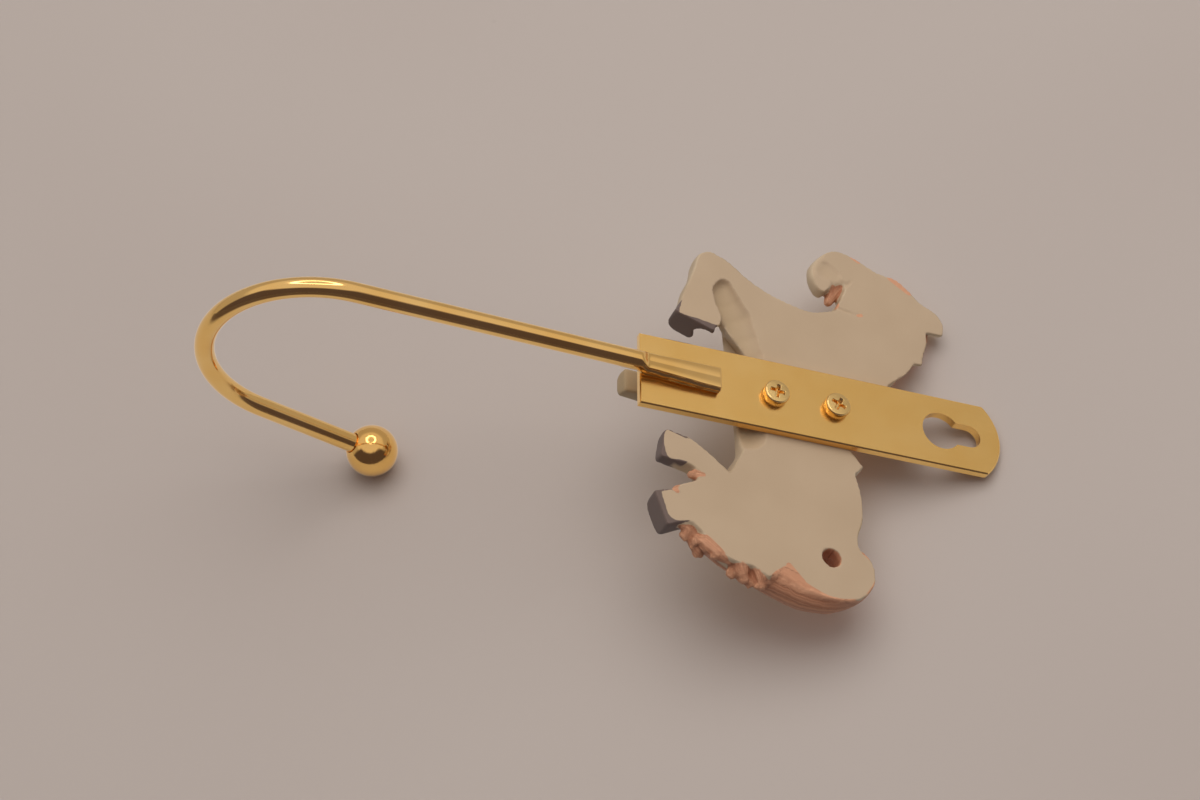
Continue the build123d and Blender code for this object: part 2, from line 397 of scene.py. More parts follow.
@dataclass
class ReliefField:
    """A signed distance field on a grid over the casting, carved and built up form by form."""

    low: Point3
    high: Point3
    step: float
    axes: list[np.ndarray] = field(init=False)
    value: np.ndarray = field(init=False)

    def __post_init__(self) -> None:
        """Lay out the grid, empty."""
        self.axes = [np.arange(lo, hi + self.step, self.step) for lo, hi in zip(self.low, self.high)]
        self.value = np.full([len(axis) for axis in self.axes], 50.0, np.float32)

    def window(self, low: Sequence[float], high: Sequence[float], spare: float) -> tuple[slice, ...]:
        """The grid slices that cover a box and a margin around it."""
        cuts = []
        for axis, lo, hi in zip(self.axes, low, high):
            first = max(int((lo - spare - axis[0]) / self.step), 0)
            last = min(int((hi + spare - axis[0]) / self.step) + 2, len(axis))
            cuts.append(slice(first, max(last, first)))
        return tuple(cuts)

    def limb_distance(self, limb: Limb, cut: tuple[slice, ...]) -> np.ndarray:
        """Distance to a limb inside a window."""
        x, z, d = (axis[c].astype(np.float32) for axis, c in zip(self.axes, cut))
        a = np.array(limb.start, np.float32)
        way = np.array(limb.end, np.float32) - a
        px = x[:, None, None] - a[0]
        pz = z[None, :, None] - a[1]
        pd = d[None, None, :] - a[2]
        share = np.clip((px * way[0] + pz * way[1] + pd * way[2]) / max(float(way @ way), 1e-9), 0, 1)
        gap = np.sqrt((px - share * way[0]) ** 2 + (pz - share * way[1]) ** 2 + (pd - share * way[2]) ** 2)
        return gap - (limb.start_radius + share * (limb.end_radius - limb.start_radius))

    def around(self, limbs: Sequence[Limb], spare: float) -> tuple[slice, ...]:
        """The window around some limbs."""
        corners = []
        for limb in limbs:
            big = max(limb.start_radius, limb.end_radius)
            corners += [np.array(limb.start) - big, np.array(limb.end) - big]
            corners += [np.array(limb.start) + big, np.array(limb.end) + big]
        low, high = np.min(corners, axis=0), np.max(corners, axis=0)
        return self.window(low, high, spare)

    def chain(self, limbs: Sequence[Limb], spare: float) -> tuple[tuple[slice, ...], np.ndarray]:
        """Distance to several limbs joined without a blend."""
        cut = self.around(limbs, spare)
        distance = self.limb_distance(limbs[0], cut)
        for limb in limbs[1:]:
            distance = np.minimum(distance, self.limb_distance(limb, cut))
        return cut, distance

    def blend_in(self, cut: tuple[slice, ...], distance: np.ndarray, blend: float) -> None:
        """Join a form to the casting with a soft seam.

        Args:
            cut: the window that distance covers.
            distance: the form's distance there.
            blend: how wide the seam is.
        """
        here = self.value[cut]
        mix = np.clip(0.5 + 0.5 * (here - distance) / blend, 0, 1)
        self.value[cut] = here + (distance - here) * mix - blend * mix * (1 - mix)

    def carve(self, cut: tuple[slice, ...], distance: np.ndarray, blend: float) -> None:
        """Take a form out of the casting with a soft lip."""
        here = -self.value[cut]
        mix = np.clip(0.5 + 0.5 * (here - distance) / blend, 0, 1)
        self.value[cut] = -(here + (distance - here) * mix - blend * mix * (1 - mix))

    def add_limb(self, limb: Limb, blend: float) -> None:
        """Join one limb."""
        self.blend_in(*self.chain([limb], 2 * blend + 1), blend)

    def carve_limb(self, limb: Limb, blend: float) -> None:
        """Carve one limb."""
        self.carve(*self.chain([limb], 2 * blend + 1), blend)

    def sample(self, grid: np.ndarray, points: np.ndarray) -> np.ndarray:
        """Read a grid of this field's shape at points, between its nodes."""
        place = [(points[:, i] - self.axes[i][0]) / self.step for i in range(3)]
        base = [np.clip(p.astype(int), 0, n - 2) for p, n in zip(place, grid.shape)]
        share = [np.clip(p - b, 0, 1) for p, b in zip(place, base)]
        total = np.zeros(len(points), np.float32)
        for corner in np.ndindex(2, 2, 2):
            weight = np.ones(len(points))
            for i in range(3):
                weight = weight * (share[i] if corner[i] else 1 - share[i])
            total += weight * grid[tuple(base[i] + corner[i] for i in range(3))]
        return total


def outline_distance(points: np.ndarray, xs: np.ndarray, zs: np.ndarray) -> np.ndarray:
    """Signed distance on a flat grid to a closed outline, negative inside.

    Args:
        points: the outline, one row of across and up per corner.
        xs: grid positions across.
        zs: grid positions up.

    Returns:
        An array of one row per across position.
    """
    gx, gz = np.meshgrid(xs, zs, indexing="ij")
    best = np.full(gx.shape, 1e9)
    inside = np.zeros(gx.shape, bool)
    for (ax, az), (bx, bz) in zip(points, np.roll(points, -1, axis=0)):
        ex, ez = bx - ax, bz - az
        share = np.clip(((gx - ax) * ex + (gz - az) * ez) / max(ex * ex + ez * ez, 1e-12), 0, 1)
        best = np.minimum(best, (gx - ax - share * ex) ** 2 + (gz - az - share * ez) ** 2)
        if az != bz:
            crosses = (az > gz) != (bz > gz)
            inside ^= crosses & (gx < (bx - ax) * (gz - az) / (bz - az) + ax)
    return np.where(inside, -np.sqrt(best), np.sqrt(best)).astype(np.float32)


def net_of(relief: ReliefField) -> tuple[np.ndarray, np.ndarray]:
    """Wrap the field's zero surface in four-sided faces, one vertex in each grid cell that it crosses.

    Args:
        relief: the finished field.

    Returns:
        Vertex places in the field's own axes, and the faces' vertex indices.
    """
    value = relief.value
    shape = np.array(value.shape) - 1
    inside = value < 0
    tally = np.zeros(tuple(shape), np.uint8)
    corners = list(np.ndindex(2, 2, 2))
    for corner in corners:
        tally += inside[tuple(slice(c, c + n) for c, n in zip(corner, shape))]
    cells = np.argwhere((tally > 0) & (tally < 8))
    numbers = np.full(tuple(shape), -1, np.int64)
    numbers[tuple(cells.T)] = np.arange(len(cells))
    held = np.stack([value[tuple((cells + corner).T)] for corner in corners], axis=1)
    total = np.zeros((len(cells), 3))
    hits = np.zeros(len(cells))
    for i, first in enumerate(corners):
        for j, second in enumerate(corners):
            if j <= i or sum(abs(a - b) for a, b in zip(first, second)) != 1:
                continue
            fa, fb = held[:, i], held[:, j]
            crossed = (fa < 0) != (fb < 0)
            share = np.where(crossed, fa / np.where(crossed, fa - fb, 1), 0)[:, None]
            spot = np.array(first) + share * (np.array(second) - np.array(first))
            total += spot * crossed[:, None]
            hits += crossed
    places = cells + total / hits[:, None]
    faces = []
    for axis in range(3):
        others = [a for a in range(3) if a != axis]
        near = [slice(None)] * 3
        far = [slice(None)] * 3
        near[axis], far[axis] = slice(0, -1), slice(1, None)
        flips = np.argwhere(inside[tuple(near)] != inside[tuple(far)])
        keep = np.all((flips[:, others] > 0) & (flips[:, others] < shape[others]), axis=1)
        flips = flips[keep]
        around = []
        for du, dv in ((-1, -1), (0, -1), (0, 0), (-1, 0)):
            cell = flips.copy()
            cell[:, others[0]] += du
            cell[:, others[1]] += dv
            around.append(numbers[tuple(cell.T)])
        quad = np.stack(around, axis=1)
        turned = inside[tuple(flips.T)] ^ (axis == 1)
        quad[~turned] = quad[~turned][:, ::-1]
        faces.append(quad)
    low = np.array([axis[0] for axis in relief.axes])
    return places * relief.step + low, np.vstack(faces)


def revolved(profile: Sequence[Point2], segments: int) -> tuple[np.ndarray, list[tuple[int, ...]]]:
    """Turn a profile round its axis.

    Args:
        profile: radius and height of each corner, from the axis to the axis.
        segments: steps round the axis.

    Returns:
        Points across, across and along the axis, and faces with closed poles.
    """
    inner = profile[1:-1]
    turns = np.linspace(0, 2 * math.pi, segments, endpoint=False)
    rings = [[(r * math.cos(a), r * math.sin(a), h) for a in turns] for r, h in inner]
    points = [(0.0, 0.0, profile[0][1])] + [p for ring in rings for p in ring] + [(0.0, 0.0, profile[-1][1])]
    faces: list[tuple[int, ...]] = []
    for i in range(segments):
        j = (i + 1) % segments
        faces.append((0, 1 + j, 1 + i))
        for ring in range(len(inner) - 1):
            low, high = 1 + ring * segments, 1 + (ring + 1) * segments
            faces.append((low + i, low + j, high + j, high + i))
        last = 1 + (len(inner) - 1) * segments
        faces.append((last + i, last + j, len(points) - 1))
    return np.array(points), faces


def face_outwards(piece: bpy.types.Object) -> None:
    """Turn a closed piece's faces outwards."""
    work = bmesh.new()
    work.from_mesh(piece.data)
    bmesh.ops.recalc_face_normals(work, faces=work.faces)
    work.to_mesh(piece.data)
    work.free()


def baked(piece: bpy.types.Object) -> bpy.types.Object:
    """Turn a piece's modifiers into a plain mesh.

    Args:
        piece: an object with live modifiers.

    Returns:
        The same object with the result as its own mesh.
    """
    evaluated = piece.evaluated_get(bpy.context.evaluated_depsgraph_get())
    made = bpy.data.meshes.new_from_object(evaluated)
    piece.modifiers.clear()
    spent = piece.data
    piece.data = made
    made.name = piece.name
    bpy.data.meshes.remove(spent)
    return piece


def add_field(mesh: bpy.types.Mesh, name: str, kind: str, values: np.ndarray) -> None:
    """Store values on a mesh's points.

    Args:
        mesh: the mesh.
        name: the attribute's name.
        kind: FLOAT, FLOAT_VECTOR or FLOAT_COLOR.
        values: one row for each point.
    """
    key = {"FLOAT": "value", "FLOAT_VECTOR": "vector", "FLOAT_COLOR": "color"}[kind]
    made = mesh.attributes.new(name, kind, "POINT")
    made.data.foreach_set(key, np.asarray(values, np.float32).ravel())


class Tree:
    """A Geometry Nodes tree with named inputs."""

    def __init__(self, name: str, inputs: dict[str, tuple[str, object]]) -> None:
        """Make the tree with a geometry input and output and the named inputs.

        Args:
            name: the tree's name.
            inputs: each input's socket type and value.
        """
        self.tree = bpy.data.node_groups.new(name, "GeometryNodeTree")
        self.tree.interface.new_socket("Geometry", in_out="OUTPUT", socket_type="NodeSocketGeometry")
        self.tree.interface.new_socket("Geometry", in_out="INPUT", socket_type="NodeSocketGeometry")
        self.values = {key: value for key, (_, value) in inputs.items()}
        for key, (kind, _) in inputs.items():
            self.tree.interface.new_socket(key, in_out="INPUT", socket_type=kind)
        self.add = partial(add_node, self.tree)
        self.given = self.add("NodeGroupInput").outputs

    def finish(self, geometry: bpy.types.Node) -> None:
        """End the tree in Realize Instances and Set Material.

        Args:
            geometry: the node that gives the finished geometry.
        """
        real = self.add("GeometryNodeRealizeInstances", [geometry])
        smooth = self.add("GeometryNodeSetShadeSmooth", [real])
        dressed = self.add("GeometryNodeSetMaterial", {0: smooth, "Material": self.given["Material"]})
        self.add("NodeGroupOutput", [dressed])

    def run(self, piece: bpy.types.Object) -> bpy.types.Object:
        """Run the tree on a piece and keep the result as its mesh.

        Args:
            piece: the object that carries the input mesh.

        Returns:
            The piece.
        """
        step = piece.modifiers.new(self.tree.name, "NODES")
        step.node_group = self.tree
        for item in self.tree.interface.items_tree:
            if item.in_out == "INPUT" and item.name in self.values:
                step[item.identifier] = self.values[item.name]
        return baked(piece)


@dataclass
class BackPlate:
    """The rolled steel strip with the keyhole. Its CAD node has the right shape and only gets its finish."""

    node: str = "back_plate"

    def dress(self) -> None:
        """Give the strip its plated finish."""
        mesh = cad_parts[self.node].data
        mesh.materials.clear()
        mesh.materials.append(Plating.STRIP.value.material())
        LOG.info("%s: kept from the packed model, %d faces", self.node, len(mesh.polygons))


@dataclass
class HookRod:
    """The bent round rod, with its top end squeezed flat against the plate's back."""

    # What the tree reads along the route and round the section.
    ALONG: ClassVar[tuple[str, ...]] = ("half_width", "half_thick", "squeeze")
    AROUND: ClassVar[tuple[str, ...]] = ("round_across", "round_up", "flat_across", "flat_up", "wall")

    radius: float = 2.39
    lean: float = 2.3
    shank_run: float = 69.6
    bend_radius: float = 27.3
    tip_flare: float = 17.7
    tip_run: float = 25.8
    ball_seat: float = 6.0
    flat_head: float = -59.4
    flat_foot: float = -78.2
    neck: float = 2.6
    head_width: float = 6.8
    head_thick: float = 2.4
    root_width: float = 5.3
    root_thick: float = 3.3
    edge_round: float = 0.8
    end_round: float = 0.35
    ripple: float = 0.32
    folds: float = 0.95
    fold_wander: float = 3.0
    wander_mm: float = 6.0
    dish: float = 0.06
    dish_half: float = 0.85
    wall_reach: float = 21.0
    wall_points: int = 46
    wall_starts: float = 0.8
    wall_whole: float = 0.95
    sides: int = 112
    # The flat narrows over this share of its run, ever faster.
    narrowing: float = 0.85
    narrowing_bend: float = 1.6
    flat_steps: int = 40
    neck_steps: int = 14
    shank_steps: int = 40
    bend_steps: int = 90
    tip_steps: int = 16

    def route(self) -> tuple[np.ndarray, np.ndarray, np.ndarray]:
        """Follow the rod's middle from the flat's head to the ball.

        Returns:
            Points, the way each section's second axis points, and each section's half width, half
            thickness and how far it is squeezed, from 0 to 1.
        """
        points, ways, sizes = [], [], []
        run = self.flat_head - self.flat_foot
        for share in np.concatenate([np.linspace(0, 0.03, 8), np.linspace(0.05, 1, self.flat_steps)]):
            height = self.flat_head - share * run
            spread = min(share / self.narrowing, 1.0) ** self.narrowing_bend
            width = self.head_width + (self.root_width - self.head_width) * spread
            thick = self.head_thick + (self.root_thick - self.head_thick) * share
            cut = self.end_round * (1 - math.sqrt(max(1 - (1 - min(share * run / self.end_round, 1)) ** 2, 0)))
            points.append((0, thick / 2, height))
            ways.append((0, 1, 0))
            sizes.append((width / 2 - cut, thick / 2 - cut, 1))
        shank_head = self.flat_foot - self.neck
        for share in np.linspace(0, 1, self.neck_steps)[1:]:
            ease = share * share * (3 - 2 * share)
            half = self.root_thick / 2 + (self.radius - self.root_thick / 2) * ease
            points.append((0, half, self.flat_foot - share * self.neck))
            ways.append((0, 1, 0))
            sizes.append((self.root_width / 2 + (self.radius - self.root_width / 2) * ease, half, 1 - ease))
        lean = math.radians(self.lean)
        head = np.array([0, self.radius, shank_head])
        foot = head + self.shank_run * np.array([0, math.sin(lean), -math.cos(lean)])
        for share in np.linspace(0, 1, self.shank_steps)[1:]:
            points.append(head + share * (foot - head))
            ways.append((0, math.cos(lean), math.sin(lean)))
            sizes.append((self.radius, self.radius, 0))
        centre = foot - self.bend_radius * np.array([0, math.cos(lean), math.sin(lean)])
        sweep = math.pi - math.radians(self.tip_flare) + lean
        for turn in np.linspace(0, sweep, self.bend_steps)[1:]:
            way = np.array([0, math.cos(lean - turn), math.sin(lean - turn)])
            points.append(centre + self.bend_radius * way)
            ways.append(way)
            sizes.append((self.radius, self.radius, 0))
        along = np.array([0, ways[-1][2], -ways[-1][1]])
        start = np.array(points[-1])
        for share in np.linspace(0, 1, self.tip_steps)[1:]:
            points.append(start + along * share * (self.tip_run + self.ball_seat))
            ways.append(ways[-1])
            sizes.append((self.radius, self.radius, 0))
        return np.array(points), np.array(ways), np.array(sizes)

    def section(self) -> np.ndarray:
        """The flat's section, as a share of its half width and half thickness, at even turns.

        Returns:
            Round across and up, flat across and up, and which side wall it is on, one row for each side.
        """
        half_w, half_t, bend = self.head_width / 2, self.head_thick / 2, self.edge_round
        corner = np.radians(np.linspace(0, 90, 24))
        quarter = [(1.0, 0.0)]
        quarter += [((half_w - bend + bend * math.cos(a)) / half_w, (half_t - bend + bend * math.sin(a)) / half_t)
                    for a in corner]
        quarter += [(0.0, 1.0)]
        turns = [math.atan2(y, x) for x, y in quarter]
        rows = []
        even = 2 * math.pi * (np.arange(self.sides) + 0.5) / self.sides
        wall_turns = np.radians(np.linspace(-self.wall_reach, self.wall_reach, self.wall_points))
        every = np.unique(np.round(np.concatenate([even, wall_turns % (2 * math.pi), wall_turns + math.pi]), 6))
        for turn in every:
            folded = math.atan2(abs(math.sin(turn)), abs(math.cos(turn)))
            reach = np.interp(folded, turns, [math.hypot(x, y) for x, y in quarter])
            across, up = reach * math.cos(turn), reach * math.sin(turn)
            wall = between(abs(across), self.wall_starts, self.wall_whole)
            if up > 0:
                up -= self.dish / half_t * max(1 - (across / self.dish_half) ** 2, 0) ** 2
            rows.append((math.cos(turn), math.sin(turn), across, up, math.copysign(wall, across)))
        return np.array(rows)

    def wire(self, name: str, points: np.ndarray, closed: bool) -> bpy.types.Object:
        """A line of edges, in millimetres turned to metres."""
        count = len(points)
        edges = [(i, i + 1) for i in range(count - 1)] + ([(count - 1, 0)] if closed else [])
        mesh = bpy.data.meshes.new(name)
        mesh.from_pydata((points * MM).tolist(), edges, [])
        line = bpy.data.objects.new(name, mesh)
        bpy.context.scene.collection.objects.link(line)
        return line

    def tree(self, profile: bpy.types.Object) -> Tree:
        """The tree that sweeps the section along the route and squeezes it flat at the plate.

        Args:
            profile: the line that carries the round and the flat section.

        Returns:
            The tree.
        """
        t = Tree(
            "rod_sweep_and_squeeze",
            {
                "Section": ("NodeSocketObject", profile),
                "Radius": (NUMBER, self.radius * MM),
                "Fold Depth": (NUMBER, self.ripple * MM),
                "Fold Turn": (NUMBER, 2 * math.pi * self.folds),
                "Fold Wander": (NUMBER, self.fold_wander),
                "Wanders Per Metre": (NUMBER, 1 / (self.wander_mm * MM)),
                "Material": ("NodeSocketMaterial", Plating.ROD.value.material()),
            },
        )
        add, given = t.add, t.given
        line = add("GeometryNodeMeshToCurve", [given["Geometry"]])
        shape = add("GeometryNodeObjectInfo", {"Object": given["Section"]}).outputs["Geometry"]
        ring = add("GeometryNodeMeshToCurve", [shape])
        tube = add("GeometryNodeCurveToMesh", {"Curve": line, "Profile Curve": ring, "Fill Caps": True})
        stored = {name: add(NAMED, {"Name": name}) for name in (*self.ALONG, *self.AROUND)}
        middle, way = (add(NAMED, {"Name": name}, data_type="FLOAT_VECTOR") for name in ("middle", "way"))
        whole = add(MATH, (1.0, stored["squeeze"]), operation="SUBTRACT")

        def reach(side: str, half: str) -> bpy.types.Node:
            """How far a point stands off the middle, between the round and the flat section."""
            parts = []
            for factors in (
                (stored[f"round_{side}"], given["Radius"], whole),
                (stored[f"flat_{side}"], stored[half], stored["squeeze"]),
            ):
                product = add(MATH, factors[:2], operation="MULTIPLY")
                parts.append(add(MATH, (product, factors[2]), operation="MULTIPLY"))
            return add(MATH, parts, operation="ADD")

        height = add(SPLIT, [middle]).outputs["Z"]
        wander = add(
            NOISE, {"W": height, "Scale": given["Wanders Per Metre"], "Detail": 1.0}, noise_dimensions="1D"
        )
        shift = add(MATH, (wander, given["Fold Wander"]), operation="MULTIPLY")
        phase = add(MATH, (stored["flat_up"], given["Fold Turn"], shift), operation="MULTIPLY_ADD")
        fold = add(MATH, [add(MATH, [phase], operation="COSINE"), 0.5, 0.5], operation="MULTIPLY_ADD")
        folded = add(MATH, (stored["wall"], stored["squeeze"]), operation="MULTIPLY")
        for factor in (given["Fold Depth"], folded):
            fold = add(MATH, (fold, factor), operation="MULTIPLY")
        wide = add(MATH, (reach("across", "half_width"), fold), operation="SUBTRACT")
        out = add(VECTORS, {0: way, "Scale": reach("up", "half_thick")}, operation="SCALE")
        place = add(VECTORS, (middle, add(COMBINE, {"X": wide})), operation="ADD")
        place = add(VECTORS, (place, out), operation="ADD")
        t.finish(add("GeometryNodeSetPosition", {0: tube, "Position": place}))
        return t

    def build(self) -> None:
        """Build the rod and dress it."""
        points, ways, sizes = self.route()
        piece = self.wire("hook_rod_swept", points, False)
        add_field(piece.data, "middle", "FLOAT_VECTOR", points * MM)
        add_field(piece.data, "way", "FLOAT_VECTOR", ways)
        for name, column, unit in zip(self.ALONG, sizes.T, (MM, MM, 1)):
            add_field(piece.data, name, "FLOAT", column * unit)
        section = self.section()
        flat = np.column_stack([section[:, :2] * self.radius, np.zeros(len(section))])
        profile = self.wire("rod_section", flat, True)
        for name, column in zip(self.AROUND, section.T):
            add_field(profile.data, name, "FLOAT", column)
        self.tree(profile).run(piece)
        bpy.data.objects.remove(profile)
        face_outwards(piece)
        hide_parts("hook_rod")
        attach(piece, "root")
        LOG.info("%s: swept along its route and squeezed, %d faces", piece.name, len(piece.data.polygons))


@dataclass
class BallEnd:
    """The turned ball on the rod's tip, bored to take it, with a small bevel round the bore's mouth."""

    rod: HookRod
    radius: float = 6.485
    fit: float = 0.13
    lip: float = 0.16
    lip_drop: float = 0.25
    segments: int = 112
    arc_steps: int = 90

    def profile(self) -> list[Point2]:
        """The turned half section, from the bore's end to the far pole, as radius and height."""
        bore = self.rod.radius + self.fit
        seat = self.radius - self.rod.ball_seat
        start = math.asin((bore + self.lip) / self.radius)
        mouth = self.radius * math.cos(start)
        corners: list[Point2] = [(0.0, seat), (bore, seat), (bore, mouth - self.lip_drop)]
        for turn in np.linspace(start, math.pi, self.arc_steps)[:-1]:
            corners.append((self.radius * math.sin(turn), self.radius * math.cos(turn)))
        return corners + [(0.0, -self.radius)]

    def build(self) -> None:
        """Turn the ball round the rod's line and dress it."""
        points, faces = revolved(self.profile(), self.segments)
        route, _, _ = self.rod.route()
        way = (route[-1] - route[-2]) / np.linalg.norm(route[-1] - route[-2])
        centre = route[-1] - way * (self.rod.ball_seat - self.radius)
        side = np.array([1.0, 0.0, 0.0])
        placed = points @ np.array([side, np.cross(-way, side), -way]) + centre
        piece = mesh_object("ball_end_turned", placed, faces)
        face_outwards(piece)
        piece.data.materials.append(Plating.BALL.value.material())
        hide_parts("ball_end")
        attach(piece, "root")
        LOG.info("%s: %d faces", piece.name, len(piece.data.polygons))


@dataclass
class Screws:
    """The two pan head screws. One tree sinks the cross recess into a turned blank and places it."""

    heights: dict[str, float] = field(default_factory=lambda: {"screw_lower": -44.7, "screw_upper": -28.6})
    turns: dict[str, float] = field(default_factory=lambda: {"screw_lower": 11.0, "screw_upper": 26.0})
    head_radius: float = 3.25
    head_rise: float = 2.2
    dome: float = 0.15
    rim_round: float = 0.5
    foot_bevel: float = 0.08
    shank_radius: float = 1.5
    length: float = 10.5
    point: float = 1.6
    recess_span: float = 3.9
    recess_width: float = 1.0
    recess_depth: float = 1.25
    wall_slope: float = 4.5
    end_slope: float = 1.6
    core_slope: float = 1.5
    core_share: float = 0.48
    sides: int = 112
    top_steps: int = 48
    edge_steps: int = 9
    edge_start: float = 0.12

    def blank(self, name: str) -> bpy.types.Object:
        """The turned screw before its recess, pointing along +Z from the plate's back face."""
        profile: list[Point2] = [(0.0, self.head_rise)]
        flat_edge = self.head_radius - self.rim_round
        for r in np.linspace(0, flat_edge, self.top_steps)[1:]:
            profile.append((r, self.head_rise - self.dome * (r / self.head_radius) ** 2))
        top = profile[-1][1]
        for turn in np.linspace(self.edge_start, math.pi / 2, self.edge_steps):
            profile.append((flat_edge + self.rim_round * math.sin(turn), top - self.rim_round * (1 - math.cos(turn))))
        profile += [(self.head_radius, self.foot_bevel), (self.head_radius - self.foot_bevel, 0.0)]
        profile += [(self.shank_radius, 0.0)]
        profile += [(self.shank_radius, -self.length + self.point), (0.0, -self.length)]
        points, faces = revolved(profile, self.sides)
        piece = mesh_object(name, points, faces)
        face_outwards(piece)
        return piece

    def tree(self, name: str) -> Tree:
        """The tree that sinks a cross recess and stands the screw on the plate.

        Args:
            name: which screw.

        Returns:
            The tree.
        """
        t = Tree(
            f"{name}_recess",
            {
                "Turn": (NUMBER, math.radians(self.turns[name])),
                "Height": (NUMBER, self.heights[name] * MM),
                "Recess Span": (NUMBER, self.recess_span * MM),
                "Recess Width": (NUMBER, self.recess_width * MM),
                "Recess Depth": (NUMBER, self.recess_depth * MM),
                "Head Foot": (NUMBER, (self.head_rise - self.dome - self.rim_round) * MM),
                "Material": ("NodeSocketMaterial", Plating.SCREW.value.material()),
            },
        )
        add, given = t.add, t.given
        place = add("GeometryNodeInputPosition")
        turned = add("ShaderNodeVectorRotate", {"Vector": place, "Angle": given["Turn"]}, rotation_type="Z_AXIS")
        across, over, rise = add(SPLIT, [turned]).outputs
        half_span, half_width = (
            add(MATH, (given[size], 0.5), operation="MULTIPLY") for size in ("Recess Span", "Recess Width")
        )
        depths = []
        for first, second in ((across, over), (over, across)):
            slopes = []
            for half, off, slope in ((half_width, second, self.wall_slope), (half_span, first, self.end_slope)):
                inwards = add(MATH, (half, add(MATH, [off], operation="ABSOLUTE")), operation="SUBTRACT")
                slopes.append(add(MATH, (inwards, slope), operation="MULTIPLY"))
            depths.append(add(MATH, slopes, operation="MINIMUM"))
        off = add(VECTORS, [add(COMBINE, (across, over))], operation="LENGTH")
        core = add(MATH, (half_span, self.core_share), operation="MULTIPLY")
        core = add(MATH, (core, off), operation="SUBTRACT")
        depths.append(add(MATH, (core, self.core_slope), operation="MULTIPLY"))
        sunk = add(MATH, depths[:2], operation="MAXIMUM")
        for limit in (depths[2], 0.0):
            sunk = add(MATH, (sunk, limit), operation="MAXIMUM")
        sunk = add(MATH, (sunk, given["Recess Depth"]), operation="MINIMUM")
        on_top = add(MATH, (rise, given["Head Foot"]), operation="GREATER_THAN")
        for factor in (on_top, -1.0):
            sunk = add(MATH, (sunk, factor), operation="MULTIPLY")
        cut = add("GeometryNodeSetPosition", {0: given["Geometry"], "Offset": add(COMBINE, {"Z": sunk})})
        stand = add(COMBINE, {"Z": given["Height"]})
        stood = add(
            "GeometryNodeTransform", {0: cut, "Translation": stand, "Rotation": (-math.pi / 2, 0, 0)}
        )
        t.finish(stood)
        return t

    def build(self) -> None:
        """Build both screws and dress them."""
        for name in self.heights:
            piece = self.tree(name).run(self.blank(f"{name}_pan_head"))
            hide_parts(name)
            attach(piece, "root")
            LOG.info("%s: %d faces", piece.name, len(piece.data.polygons))


